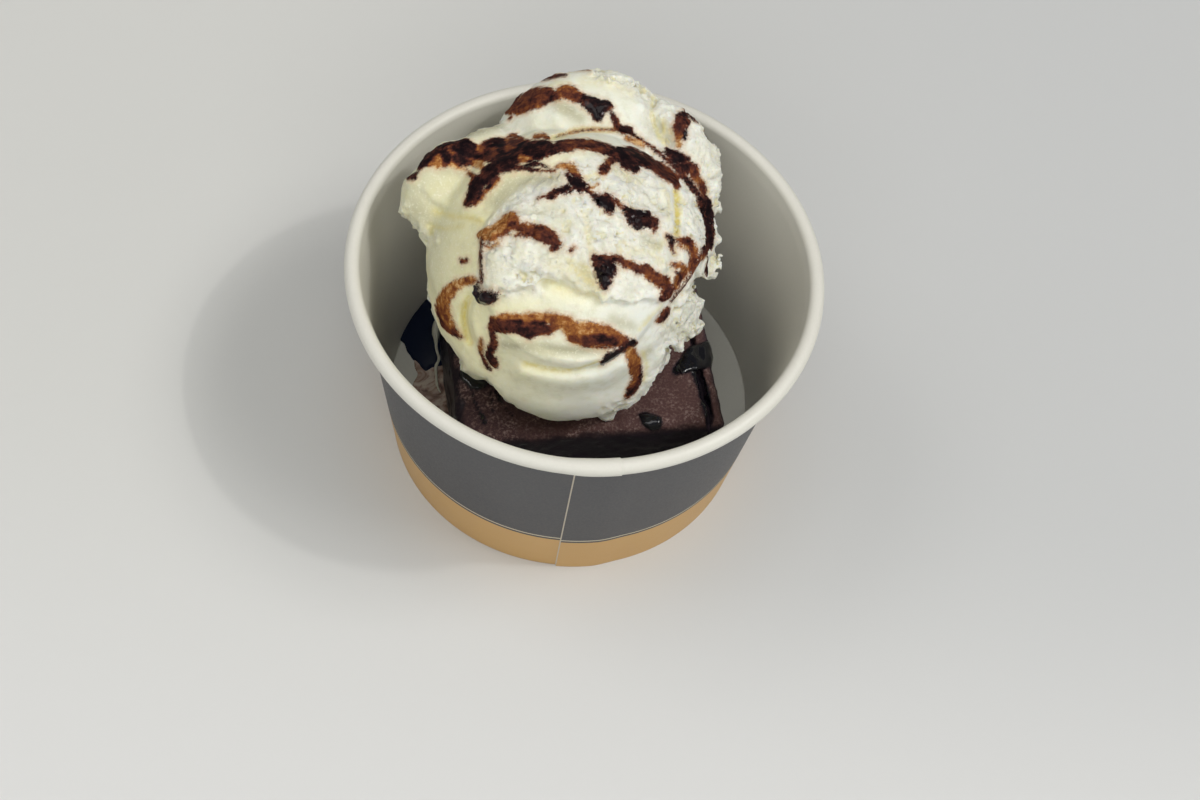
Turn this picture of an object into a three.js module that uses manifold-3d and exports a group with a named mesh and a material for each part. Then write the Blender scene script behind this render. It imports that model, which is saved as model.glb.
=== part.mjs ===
// Brownie with a large scoop of vanilla ice cream and chocolate syrup, in a round paper dessert cup.
// Millimetres, +Z up. The cup's axis is the Z axis and its foot stands on z = 0.
// The cup's seam faces -Y.

import * as THREE from 'three';
import { mergeVertices } from 'three/addons/utils/BufferGeometryUtils.js';
import Module from 'manifold-3d';

const wasm = await Module();
wasm.setup();

// Cup
const RIM_DIAMETER = 96;        // across the outside of the rolled rim
const CUP_HEIGHT = 56.6;        // foot to the top of the rolled rim
const FOOT_RADIUS = 38.2;
const ROLL_THICKNESS = 3.5;
const PAPER = 0.5;
const HEM_HEIGHT = 7;           // paper folded inwards under the floor
const FLOOR_TOP = 8.8;
const SKIRT_BOTTOM = 1.4;       // the floor's edge is folded down between wall and hem
const GAP = 0.3;                // room left between pieces that touch
const CUP_SIDES = 64;

// Brownie
const BROWNIE_WIDTH = 55;
const BROWNIE_DEPTH = 47;
const BROWNIE_TOP = 32;
const BROWNIE_CENTRE = [0.6, -1.4];
const BROWNIE_TURN = 14;        // degrees
const BROWNIE_ROUNDING = 2.4;
const CRUST_DEPTH = 3;          // width of the strip that has split off along the right edge
const CRACK_WIDTH = 1.6;
const CRACK_DEPTH = 2.2;
const BROWNIE_DROPS = [         // syrup drops on its top: centre, half sizes, turn in degrees
  { centre: [26.2, -2.6], half: [4, 2.6, 1.3], turn: 25 },
  { centre: [17.5, -18.5], half: [2.6, 1.6, 0.9], turn: 10 },
  { centre: [-21.2, -18], half: [2.4, 1.6, 1], turn: -30 },
];

// Ice cream: overlapping lobes, each with its centre, half sizes and turn about X, then Z
const DOME_CENTRE = [-4.2, 0.3, 53.8];
const DOME_RADIUS = 27.4;
const LEAN = 32;                // degrees that the rear lobes lean back
const LOBES = [
  { name: 'dome', centre: DOME_CENTRE, half: [27.5, DOME_RADIUS, DOME_RADIUS], turn: [0, 0] },
  { name: 'base', centre: [-4.2, -1.6, 45.7], half: [27, 26.8, 21], turn: [0, 0] },
  { name: 'back', centre: [-1, 8, 44], half: [22, 19, 16], turn: [0, 0] },
  { name: 'crown', centre: [-1.6, 22.9, 57.7], half: [20, 19.4, 13], turn: [LEAN, 0] },
  { name: 'cheek', centre: [11.3, 21.1, 58], half: [13.2, 15, 11], turn: [LEAN, -8] },
  { name: 'jowl', centre: [16.4, 9.5, 50.7], half: [9, 13, 9], turn: [LEAN, 0] },
  { name: 'ear', centre: [-26.2, 9.9, 61.5], half: [13.5, 9, 7], turn: [LEAN, 34] },
  { name: 'fold', centre: [-2.5, -3.5, 57.5], half: [19.5, 17, 25.5], turn: [LEAN, 0] },
];
const LOBE_SIDES = 30;
const LOBE_RINGS = 18;
const RIPPLE = 0.45;            // depth of the uneven surface that the scoop leaves

// Syrup: every trail runs over the scoop through directions seen from the dome's centre,
// each one a bearing from +X towards +Y and a height above the horizon, in degrees
const TRAIL_RADIUS = 2.2;
const TRAIL_PROUD = 0.9;        // how far a trail stands out of the ice cream
const TRAIL_END_PROUD = -0.3;   // its ends run down into the ice cream
const TRAIL_SIDES = 8;
const TRAIL_STEPS = 9;
const SYRUP_TRAILS = [
  [[107, 27], [95, 32], [84, 36], [72, 38]],                              // over the crown
  [[164, 23], [153, 28], [138, 31]],                                      // over the ear
  [[125, 62], [160, 63], [180, 54], [188, 45]],                           // down the left flank
  [[120, 64], [85, 63], [56, 57], [44, 37]],                              // along the dome's upper edge
  [[36, 27], [30, 18], [22, 8]],                                          // down the cheek
  [[150, 75], [-40, 76], [-19, 63], [-14, 53]],                           // across the top
  [[-145, 45], [-145, 58], [-120, 63], [-97, 63]],                        // short arc at the left
  [[-70, 46], [-65, 54], [-47, 49], [-32, 33]],                           // short arc at the right
  [[-117, 8], [-117, 19], [-104, 28], [-88, 32], [-70, 27], [-55, 13]],   // long arc at the front
  [[-133, 33], [-143, 20], [-146, 2]],                                    // down the left side
  [[-56, 14], [-52, 4], [-50, -12]],                                      // down the right side
];

// Liquids on the cup's floor, between its wall and the brownie's left side.
// Bearings from the cup's axis, in degrees, where each one meets the wall.
const POOL_THICKNESS = 1.4;
const POOL_BEARINGS = [152, 172];
const PUDDLE_THICKNESS = 0.8;
const PUDDLE_BEARINGS = [178, 191];

const rollRadius = ROLL_THICKNESS / 2;
const rollCentreRadius = RIM_DIAMETER / 2 - rollRadius;
const rollCentreHeight = CUP_HEIGHT - rollRadius;
const wallTopRadius = rollCentreRadius - rollRadius;
const degrees = THREE.MathUtils.degToRad;

// Radius of the wall's outside at a height
function wallOutside(z) {
  return FOOT_RADIUS + (wallTopRadius + PAPER - FOOT_RADIUS) * (z / rollCentreHeight);
}

function wallInside(z) {
  return wallOutside(z) - PAPER;
}

function node(name, geometry, material) {
  const mesh = new THREE.Mesh(geometry, material);
  mesh.name = name;
  return mesh;
}

function finish(color, roughness) {
  return new THREE.MeshStandardMaterial({ color, roughness, metalness: 0 });
}

// A geometry whose shared corners are one vertex each
function welded(geometry) {
  const plain = geometry.index ? geometry.toNonIndexed() : geometry.clone();
  plain.deleteAttribute('normal');
  plain.deleteAttribute('uv');
  return mergeVertices(plain, 1e-4);
}

function toSolid(geometry) {
  const closed = welded(geometry);
  return new wasm.Manifold(new wasm.Mesh({
    numProp: 3,
    vertProperties: new Float32Array(closed.attributes.position.array),
    triVerts: new Uint32Array(closed.index.array),
  }));
}

function toGeometry(solid) {
  const mesh = solid.getMesh();
  const geometry = new THREE.BufferGeometry();
  geometry.setAttribute('position', new THREE.BufferAttribute(new Float32Array(mesh.vertProperties), 3));
  geometry.setIndex(new THREE.BufferAttribute(new Uint32Array(mesh.triVerts), 1));
  return geometry;
}

function moveVertices(geometry, move) {
  const position = geometry.attributes.position;
  const point = new THREE.Vector3();
  for (let i = 0; i < position.count; i++) {
    move(point.fromBufferAttribute(position, i));
    position.setXYZ(i, point.x, point.y, point.z);
  }
  return geometry;
}

// A closed profile of [radius, height] points, turned round the cup's axis
function turned(points) {
  const profile = points.map(([radius, height]) => new THREE.Vector2(radius, height));
  const lathe = new THREE.LatheGeometry(profile, CUP_SIDES);
  return lathe.rotateX(Math.PI / 2);
}

// Tapered paper wall with the rolled rim at the top and the hem folded in at the foot
function cupWall() {
  const hemOutside = (z) => wallInside(z) - PAPER - 2 * GAP;
  const points = [[FOOT_RADIUS, 0]];
  const rollSteps = 11;
  const rollStart = degrees(-145);
  const rollEnd = degrees(180);
  for (let i = 0; i <= rollSteps; i++) {
    const angle = rollStart + (rollEnd - rollStart) * (i / rollSteps);
    points.push([
      rollCentreRadius + rollRadius * Math.cos(angle),
      rollCentreHeight + rollRadius * Math.sin(angle),
    ]);
  }
  points.push([wallInside(PAPER), PAPER]);
  points.push([hemOutside(PAPER), PAPER]);
  points.push([hemOutside(HEM_HEIGHT), HEM_HEIGHT]);
  points.push([hemOutside(HEM_HEIGHT) - PAPER, HEM_HEIGHT]);
  points.push([hemOutside(0) - PAPER, 0]);
  points.push([FOOT_RADIUS, 0]);
  return turned(points);
}

// Flat floor with its edge folded down between the wall and the hem
function cupFloor() {
  const skirtOutside = (z) => wallInside(z) - GAP;
  return turned([
    [0, FLOOR_TOP - PAPER],
    [skirtOutside(FLOOR_TOP) - PAPER, FLOOR_TOP - PAPER],
    [skirtOutside(SKIRT_BOTTOM) - PAPER, SKIRT_BOTTOM],
    [skirtOutside(SKIRT_BOTTOM), SKIRT_BOTTOM],
    [skirtOutside(FLOOR_TOP), FLOOR_TOP],
    [0, FLOOR_TOP],
  ]);
}

// Gentle unevenness, from about -1 to 1
function unevenness(point, scale) {
  const { x, y, z } = point;
  return (
    Math.sin(x / scale + 1.3 * Math.sin(y / scale)) +
    Math.sin(y / scale + 1.1 * Math.sin(z / scale) + 2.1) +
    Math.sin(z / scale + 1.2 * Math.sin(x / scale) + 0.7)
  ) / 3;
}

// Cut block with rounded edges. A strip along the right edge has cracked away and leans outwards.
function brownie() {
  const height = BROWNIE_TOP - FLOOR_TOP - GAP;
  const columns = [];
  const plainColumns = 12;
  const crackMiddle = BROWNIE_WIDTH / 2 - CRUST_DEPTH - CRACK_WIDTH / 2;
  const plainEnd = crackMiddle - CRACK_WIDTH / 2;
  for (let i = 0; i <= plainColumns; i++) {
    columns.push(-BROWNIE_WIDTH / 2 + (plainEnd + BROWNIE_WIDTH / 2) * (i / plainColumns));
  }
  columns.push(crackMiddle, crackMiddle + CRACK_WIDTH / 2, BROWNIE_WIDTH / 2);
  const spans = columns.length - 1;
  const block = new THREE.BoxGeometry(spans, BROWNIE_DEPTH, height, spans, 12, 6);
  moveVertices(block, (point) => {
    const column = Math.round(point.x + spans / 2);
    point.x = columns[column];
    point.y *= 1 - 0.01 * unevenness(point, 7);
    roundEdges(point, [BROWNIE_WIDTH / 2, BROWNIE_DEPTH / 2, height / 2], BROWNIE_ROUNDING);
    const top = point.z > height / 2 - BROWNIE_ROUNDING;
    const strip = point.x > crackMiddle - CRACK_WIDTH / 4;
    if (top && column === columns.indexOf(crackMiddle)) point.z -= CRACK_DEPTH;
    else if (top && strip) point.z -= 0.12 * (point.x - plainEnd) + 0.5;
    if (!top && column > 0 && column < spans) point.y += 0.3 * unevenness(point, 4);
  });
  block.rotateZ(degrees(BROWNIE_TURN));
  block.translate(BROWNIE_CENTRE[0], BROWNIE_CENTRE[1], FLOOR_TOP + GAP + height / 2);
  let solid = toSolid(block);
  for (const drop of BROWNIE_DROPS) solid = solid.add(dropSolid(drop));
  return toGeometry(solid);
}

function dropSolid({ centre, half, turn }) {
  const drop = new THREE.SphereGeometry(1, 14, 8);
  drop.rotateX(Math.PI / 2);
  drop.scale(...half);
  drop.rotateZ(degrees(turn));
  drop.translate(centre[0], centre[1], BROWNIE_TOP - 0.2);
  return toSolid(drop);
}

// Pulls a point of a box in, so that the box's edges and corners are rounded
function roundEdges(point, half, radius) {
  const inner = new THREE.Vector3(
    THREE.MathUtils.clamp(point.x, radius - half[0], half[0] - radius),
    THREE.MathUtils.clamp(point.y, radius - half[1], half[1] - radius),
    THREE.MathUtils.clamp(point.z, radius - half[2], half[2] - radius),
  );
  const outward = point.clone().sub(inner);
  if (outward.length() > radius) point.copy(inner).add(outward.setLength(radius));
}

function lobeTransform(lobe) {
  const turn = new THREE.Euler(degrees(lobe.turn[0]), 0, degrees(lobe.turn[1]), 'ZYX');
  return new THREE.Matrix4().compose(
    new THREE.Vector3(...lobe.centre),
    new THREE.Quaternion().setFromEuler(turn),
    new THREE.Vector3(...lobe.half),
  );
}

function lobeSolid(lobe) {
  const ball = new THREE.SphereGeometry(1, LOBE_SIDES, LOBE_RINGS).applyMatrix4(lobeTransform(lobe));
  const middle = new THREE.Vector3(...lobe.centre);
  moveVertices(ball, (point) => {
    const outward = point.clone().sub(middle).normalize();
    point.addScaledVector(outward, RIPPLE * unevenness(point, 2.6));
  });
  return toSolid(ball);
}

// Distance from the dome's centre to the outside of the scoop in a direction
function reach(direction) {
  const start = new THREE.Vector3(...DOME_CENTRE);
  let farthest = 0;
  for (const lobe of LOBES) {
    const inverse = lobeTransform(lobe).invert();
    const from = start.clone().applyMatrix4(inverse);
    const to = start.clone().add(direction).applyMatrix4(inverse);
    const along = to.sub(from);
    const a = along.dot(along);
    const b = from.dot(along);
    const c = from.dot(from) - 1;
    const root = b * b - a * c;
    if (root > 0) farthest = Math.max(farthest, (-b + Math.sqrt(root)) / a);
  }
  return farthest;
}

function onScoop([bearing, height], proud) {
  const direction = new THREE.Vector3(
    Math.cos(degrees(height)) * Math.cos(degrees(bearing)),
    Math.cos(degrees(height)) * Math.sin(degrees(bearing)),
    Math.sin(degrees(height)),
  );
  const distance = reach(direction) - TRAIL_RADIUS + proud;
  return new THREE.Vector3(...DOME_CENTRE).addScaledVector(direction, distance);
}

// A strand of syrup that is half sunk in the ice cream
function trailSolid(directions) {
  const last = directions.length - 1;
  const points = directions.map((direction, index) => {
    const atEnd = index === 0 || index === last;
    return onScoop(direction, atEnd ? TRAIL_END_PROUD : TRAIL_PROUD);
  });
  const path = new THREE.CatmullRomCurve3(points);
  const section = new THREE.Shape();
  for (let i = 0; i < TRAIL_SIDES; i++) {
    const angle = (2 * Math.PI * i) / TRAIL_SIDES;
    const x = TRAIL_RADIUS * Math.cos(angle);
    const y = TRAIL_RADIUS * Math.sin(angle);
    if (i === 0) section.moveTo(x, y);
    else section.lineTo(x, y);
  }
  section.closePath();
  return toSolid(new THREE.ExtrudeGeometry(section, { steps: TRAIL_STEPS, extrudePath: path }));
}

function iceCream() {
  let scoop = lobeSolid(LOBES[0]);
  for (const lobe of LOBES.slice(1)) scoop = scoop.add(lobeSolid(lobe));
  for (const trail of SYRUP_TRAILS) scoop = scoop.add(trailSolid(trail));
  const below = new THREE.BoxGeometry(120, 120, 60);
  below.translate(0, 0, BROWNIE_TOP + GAP - 30);
  return toGeometry(scoop.subtract(toSolid(below)));
}

// A thin layer of liquid on the floor. It follows the wall from one bearing to the other and ends
// in a wavy edge on each side, against the brownie's left face.
function floorLiquid([first, last], thickness, wave) {
  const outerRadius = wallInside(FLOOR_TOP) - 2 * GAP;
  const faceDistance = BROWNIE_WIDTH / 2 + 2 * GAP;
  const turn = degrees(BROWNIE_TURN);
  const faceNormal = new THREE.Vector2(-Math.cos(turn), -Math.sin(turn));
  const faceOffset = faceDistance + faceNormal.dot(new THREE.Vector2(...BROWNIE_CENTRE));
  const onWall = (bearing) => new THREE.Vector2(
    outerRadius * Math.cos(degrees(bearing)),
    outerRadius * Math.sin(degrees(bearing)),
  );
  const onFace = (point) => point.clone().addScaledVector(faceNormal, faceOffset - point.dot(faceNormal));
  const edge = (from, to, bulge) => {
    const middle = from.clone().lerp(to, 0.5);
    const across = to.clone().sub(from).rotateAround(new THREE.Vector2(), Math.PI / 2).normalize();
    return new THREE.SplineCurve([
      from,
      from.clone().lerp(to, 0.28).addScaledVector(across, -bulge),
      middle.addScaledVector(across, bulge),
      to,
    ]).getPoints(10);
  };
  const outline = [];
  const arcSteps = 8;
  for (let i = 0; i < arcSteps; i++) outline.push(onWall(first + (last - first) * (i / arcSteps)));
  outline.push(...edge(onWall(last), onFace(onWall(last)), wave).slice(0, -1));
  outline.push(...edge(onFace(onWall(last)), onFace(onWall(first)), 0).slice(0, -1));
  outline.push(...edge(onFace(onWall(first)), onWall(first), wave).slice(0, -1));
  const layer = new THREE.ExtrudeGeometry(new THREE.Shape(outline), { depth: thickness, bevelEnabled: false });
  return layer.translate(0, 0, FLOOR_TOP + GAP);
}

const cup = new THREE.Group();
cup.add(node('cup_wall', cupWall(), finish('#58585a', 0.75)));
cup.add(node('cup_floor', cupFloor(), finish('#e3e2da', 0.6)));
cup.add(node('brownie', brownie(), finish('#3b2620', 0.8)));
cup.add(node('ice_cream', iceCream(), finish('#f3efdc', 0.5)));
cup.add(node('syrup_pool', floorLiquid(POOL_BEARINGS, POOL_THICKNESS, 0.7), finish('#140d0c', 0.15)));
cup.add(node('melted_cream', floorLiquid(PUDDLE_BEARINGS, PUDDLE_THICKNESS, 0.5), finish('#cdb9a8', 0.3)));

export default cup;
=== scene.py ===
"""Looks of the brownie with ice cream: sculpted scoop with syrup, crumbly brownie and printed paper cup.

The sculpting works in millimetres, in the frame of the model, and each finished mesh is in metres.
"""

import copy
import math

import bpy
import numpy as np
from mathutils import Matrix, Vector


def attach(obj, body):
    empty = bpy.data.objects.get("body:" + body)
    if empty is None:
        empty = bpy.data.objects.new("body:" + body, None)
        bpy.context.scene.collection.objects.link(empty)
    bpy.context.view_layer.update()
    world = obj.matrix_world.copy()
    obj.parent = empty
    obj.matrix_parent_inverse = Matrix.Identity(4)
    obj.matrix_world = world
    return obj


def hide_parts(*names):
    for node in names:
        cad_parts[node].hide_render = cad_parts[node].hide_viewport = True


MM = 0.001
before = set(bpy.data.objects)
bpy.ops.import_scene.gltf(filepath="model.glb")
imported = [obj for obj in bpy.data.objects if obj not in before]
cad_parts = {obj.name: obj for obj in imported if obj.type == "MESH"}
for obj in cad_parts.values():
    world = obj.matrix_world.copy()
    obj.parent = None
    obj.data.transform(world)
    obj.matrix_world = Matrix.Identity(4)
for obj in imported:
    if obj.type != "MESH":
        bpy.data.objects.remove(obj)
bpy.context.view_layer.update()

# Sizes of the cup, in mm, as in the model
RIM_RADIUS = 48.0
CUP_HEIGHT = 56.6
FOOT_RADIUS = 38.2
ROLL_RADIUS = 1.75
BOARD = 0.5
PAPER = 0.4
FLOOR_TOP = 8.8
HEM_HEIGHT = 7.0
ROLL_CENTRE = (RIM_RADIUS - ROLL_RADIUS, CUP_HEIGHT - ROLL_RADIUS)

# Camera of the photograph: place, point looked at, roll and focal length in pixels
PHOTO_SIZE = (1200, 800)
CAMERA_AT = np.array([0.0, -235.9, 375.9])
CAMERA_LOOKS_AT = np.array([7.1, 4.25, 0.0])
CAMERA_ROLL = math.radians(9.29)
FOCAL_PIXELS = 2000.0
SENSOR_WIDTH = 36.0

# The light that throws the soft shadow to the left, in metres
KEY_DISTANCE = 3.0
KEY_BEARING = math.radians(-6.0)
KEY_HEIGHT = math.radians(57.0)
KEY_PLACE = (
    KEY_DISTANCE * math.cos(KEY_HEIGHT) * math.cos(KEY_BEARING),
    KEY_DISTANCE * math.cos(KEY_HEIGHT) * math.sin(KEY_BEARING),
    KEY_DISTANCE * math.sin(KEY_HEIGHT),
)

# Brownie, in mm, as in the model
BROWNIE_HALF = (27.5, 23.5)
BROWNIE_TOP = 32.0
BROWNIE_CENTRE = (0.6, -1.4)
BROWNIE_TURN = math.radians(14.0)
BROWNIE_ROUNDING = 2.2
CRACK_AT = 23.7
CRACK_WIDTH = 1.5
CRACK_DEPTH = 2.6
# Scoop: lobes as in the model (centre, half sizes, turn about X and Z in degrees, softness of the join)
DOME_CENTRE = (-4.2, 0.3, 53.8)
LOBES = [
    (DOME_CENTRE, (27.3, 27.2, 26.9), (0, 0), 0.0),
    ((-4.2, -1.6, 45.7), (27.0, 26.8, 21.0), (0, 0), 2.5),
    ((-1.0, 8.0, 44.0), (22.0, 19.0, 16.0), (0, 0), 5.0),
    ((-2.0, 22.9, 57.8), (20.5, 19.4, 13.2), (32, 0), 0.8),
    ((11.3, 21.1, 58.0), (13.2, 15.0, 11.0), (32, -8), 0.8),
    ((16.4, 9.5, 50.7), (9.0, 13.0, 9.0), (32, 0), 1.0),
    ((-26.3, 11.2, 62.3), (14.3, 10.9, 7.4), (32, 34), 2.5),
    ((-22.4, 20.6, 61.6), (8.6, 5.0, 3.2), (32, 34), 1.6),
]
SCOOP_BOTTOM = 31.9
SCOOP_TOP = 81.2


def smoothstep(low, high, value):
    t = np.clip((value - low) / (high - low), 0.0, 1.0)
    return t * t * (3.0 - 2.0 * t)


# Photograph's camera


def camera_axes():
    """Right, up and forward of the camera, as unit vectors."""
    forward = CAMERA_LOOKS_AT - CAMERA_AT
    forward = forward / np.linalg.norm(forward)
    level = np.cross(forward, [0.0, 0.0, 1.0])
    level = level / np.linalg.norm(level)
    upright = np.cross(level, forward)
    right = math.cos(CAMERA_ROLL) * level + math.sin(CAMERA_ROLL) * upright
    up = math.cos(CAMERA_ROLL) * upright - math.sin(CAMERA_ROLL) * level
    return right, up, forward


CAMERA_RIGHT, CAMERA_UP, CAMERA_FORWARD = camera_axes()


def to_photo(points):
    """Pixel coordinates and depth of points in mm."""
    offset = points - CAMERA_AT
    depth = offset @ CAMERA_FORWARD
    x = PHOTO_SIZE[0] / 2 + FOCAL_PIXELS * (offset @ CAMERA_RIGHT) / depth
    y = PHOTO_SIZE[1] / 2 - FOCAL_PIXELS * (offset @ CAMERA_UP) / depth
    return x, y, depth


def photo_rays(pixels):
    """Unit directions from the camera through pixels, one row each."""
    pixels = np.asarray(pixels, float)
    right = (pixels[:, 0:1] - PHOTO_SIZE[0] / 2) / FOCAL_PIXELS
    up = -(pixels[:, 1:2] - PHOTO_SIZE[1] / 2) / FOCAL_PIXELS
    rays = CAMERA_FORWARD + right * CAMERA_RIGHT + up * CAMERA_UP
    return rays / np.linalg.norm(rays, axis=1, keepdims=True)


def add_camera():
    data = bpy.data.cameras.new("camera")
    data.sensor_fit = "HORIZONTAL"
    data.sensor_width = SENSOR_WIDTH
    data.lens = SENSOR_WIDTH * FOCAL_PIXELS / PHOTO_SIZE[0]
    data.clip_start = 0.01
    camera = bpy.data.objects.new("camera", data)
    axes = Matrix((CAMERA_RIGHT, CAMERA_UP, -CAMERA_FORWARD)).transposed().to_4x4()
    camera.matrix_world = Matrix.Translation(Vector(CAMERA_AT * MM)) @ axes
    bpy.context.scene.collection.objects.link(camera)
    bpy.context.scene.camera = camera


# Noise and distance fields

NOISE_CELLS = 32
NOISE_TABLE = np.random.default_rng(5).uniform(-1.0, 1.0, (NOISE_CELLS,) * 3).astype(np.float32)


def noise(points, size, shift=0.0):
    """Smooth noise from -1 to 1 with features about as wide as size."""
    q = points / size + shift * 7.31
    cell = np.floor(q).astype(np.int32)
    t = (q - cell).astype(np.float32)
    t = t * t * (3.0 - 2.0 * t)
    low = cell % NOISE_CELLS
    high = (low + 1) % NOISE_CELLS
    total = 0.0
    for i in (0, 1):
        for j in (0, 1):
            for k in (0, 1):
                x = (high if i else low)[..., 0]
                y = (high if j else low)[..., 1]
                z = (high if k else low)[..., 2]
                wx = t[..., 0] if i else 1.0 - t[..., 0]
                wy = t[..., 1] if j else 1.0 - t[..., 1]
                wz = t[..., 2] if k else 1.0 - t[..., 2]
                total = total + NOISE_TABLE[x, y, z] * wx * wy * wz
    return total


def turn_matrix(about_x, about_z):
    x = Matrix.Rotation(math.radians(about_x), 3, "X")
    z = Matrix.Rotation(math.radians(about_z), 3, "Z")
    return np.array(z @ x)


def ellipsoid(points, centre, half, turn):
    local = (points - np.array(centre)) @ turn_matrix(*turn)
    near = np.linalg.norm(local / np.array(half), axis=-1)
    far = np.linalg.norm(local / np.array(half) ** 2, axis=-1)
    return near * (near - 1.0) / np.maximum(far, 1e-9)


def join(a, b, softness):
    """Union of two distances, rounded where they meet."""
    if softness <= 0.0:
        return np.minimum(a, b)
    h = np.maximum(softness - np.abs(a - b), 0.0) / softness
    return np.minimum(a, b) - h * h * softness * 0.25


def outline_distance(x, y, outline):
    """Distance in pixels to a closed outline, below zero inside it."""
    corners = np.asarray(outline, float)
    nearest = path_distance(x, y, np.vstack([corners, corners[:1]]))
    inside = np.zeros(x.shape, bool)
    for (ax, ay), (bx, by) in zip(corners, np.roll(corners, -1, axis=0)):
        dx, dy = bx - ax, by - ay
        if dy != 0.0:
            crosses = ((ay > y) != (by > y)) & (x < dx * (y - ay) / dy + ax)
            inside ^= crosses
    return np.where(inside, -nearest, nearest)


def path_distance(x, y, path):
    """Distance in pixels to an open path."""
    corners = np.asarray(path, float)
    nearest = np.full(x.shape, 1e9)
    for (ax, ay), (bx, by) in zip(corners[:-1], corners[1:]):
        dx, dy = bx - ax, by - ay
        t = np.clip(((x - ax) * dx + (y - ay) * dy) / (dx * dx + dy * dy), 0.0, 1.0)
        nearest = np.minimum(nearest, np.hypot(x - ax - t * dx, y - ay - t * dy))
    return nearest


class Grid:
    """A box of sample points with a step, and a field of distances on them."""

    def __init__(self, low, high, step):
        self.low = np.array(low, float)
        self.step = step
        self.count = np.ceil((np.array(high) - self.low) / step).astype(int) + 1
        self.field = np.full(self.count, 9.0, np.float32)

    def points(self):
        axes = [self.low[a] + self.step * np.arange(self.count[a]) for a in range(3)]
        return np.stack(np.meshgrid(*axes, indexing="ij"), -1)

    def like(self, field):
        """Another grid on the same points, with its own field."""
        twin = copy.copy(self)
        twin.field = field.astype(np.float32)
        return twin

    def sample(self, points):
        """The field at points, read between the grid's own."""
        q = np.clip((points - self.low) / self.step, 0.0, self.count - 1.001)
        i = np.floor(q).astype(int)
        t = q - i
        total = 0.0
        for dx in (0, 1):
            for dy in (0, 1):
                for dz in (0, 1):
                    wx = t[:, 0] if dx else 1.0 - t[:, 0]
                    wy = t[:, 1] if dy else 1.0 - t[:, 1]
                    wz = t[:, 2] if dz else 1.0 - t[:, 2]
                    total = total + self.field[i[:, 0] + dx, i[:, 1] + dy, i[:, 2] + dz] * wx * wy * wz
        return total


def surface_net(grid):
    """Vertices and quads of the surface on which the grid's field is zero."""
    field = grid.field
    nx, ny, nz = field.shape
    corners = [(i, j, k) for i in (0, 1) for j in (0, 1) for k in (0, 1)]
    inside = np.zeros((nx - 1, ny - 1, nz - 1), np.int8)
    for i, j, k in corners:
        inside += field[i:nx - 1 + i, j:ny - 1 + j, k:nz - 1 + k] < 0
    cells = np.argwhere((inside > 0) & (inside < 8))
    index = np.full(inside.shape, -1, np.int32)
    index[tuple(cells.T)] = np.arange(len(cells))
    value = {c: field[tuple((cells + c).T)] for c in corners}
    vertices = grid.low + (cells + mean_crossing(value, corners)) * grid.step
    quads = [edge_quads(field, index, axis) for axis in range(3)]
    return vertices, np.concatenate(quads)


def mean_crossing(value, corners):
    """Where the surface crosses a cell's edges on average, from 0 to 1 along each axis."""
    count = len(value[corners[0]])
    total = np.zeros((count, 3))
    hits = np.zeros(count)
    for corner in corners:
        for axis in range(3):
            if corner[axis]:
                continue
            other = list(corner)
            other[axis] = 1
            a, b = value[corner], value[tuple(other)]
            crossed = (a < 0) != (b < 0)
            place = np.tile(np.array(corner, float), (count, 1))
            place[crossed, axis] = a[crossed] / (a[crossed] - b[crossed])
            total[crossed] += place[crossed]
            hits += crossed
    return total / hits[:, None]


def edge_quads(field, index, axis):
    """One quad round each grid edge along the axis that the surface crosses."""
    u, v = (axis + 1) % 3, (axis + 2) % 3
    negative = field < 0
    here = [slice(None)] * 3
    there = [slice(None)] * 3
    here[axis] = slice(0, -1)
    there[axis] = slice(1, None)
    for side in (u, v):
        here[side] = slice(1, -1)
        there[side] = slice(1, -1)
    starts_inside = negative[tuple(here)]
    crossed = np.argwhere(starts_inside != negative[tuple(there)])
    outward = starts_inside[tuple(crossed.T)]
    crossed[:, u] += 1
    crossed[:, v] += 1
    ring = []
    for du, dv in ((-1, -1), (0, -1), (0, 0), (-1, 0)):
        cell = crossed.copy()
        cell[:, u] += du
        cell[:, v] += dv
        ring.append(index[tuple(cell.T)])
    quads = np.stack(ring, 1)
    quads[~outward] = quads[~outward][:, ::-1]
    return quads


def make_mesh(name, vertices, faces, material):
    """A smooth mesh object from vertices in mm."""
    mesh = bpy.data.meshes.new(name)
    size = faces.shape[1]
    mesh.vertices.add(len(vertices))
    mesh.vertices.foreach_set("co", (np.asarray(vertices) * MM).astype(np.float32).ravel())
    mesh.loops.add(faces.size)
    mesh.loops.foreach_set("vertex_index", faces.astype(np.int32).ravel())
    mesh.polygons.add(len(faces))
    mesh.polygons.foreach_set("loop_start", np.arange(0, faces.size, size, dtype=np.int32))
    mesh.polygons.foreach_set("use_smooth", np.ones(len(faces), bool))
    mesh.update(calc_edges=True)
    mesh.validate()
    mesh.materials.append(material)
    piece = bpy.data.objects.new(name, mesh)
    bpy.context.scene.collection.objects.link(piece)
    return piece


def vertex_normals(piece):
    normals = np.empty(len(piece.data.vertices) * 3, np.float32)
    piece.data.vertex_normals.foreach_get("vector", normals)
    return normals.reshape(-1, 3)


def set_values(piece, name, values):
    attribute = piece.data.attributes.new(name, "FLOAT", "POINT")
    attribute.data.foreach_set("value", np.asarray(values, np.float32))


def move_to(piece, vertices):
    piece.data.vertices.foreach_set("co", (vertices * MM).astype(np.float32).ravel())
    piece.data.update()


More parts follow.
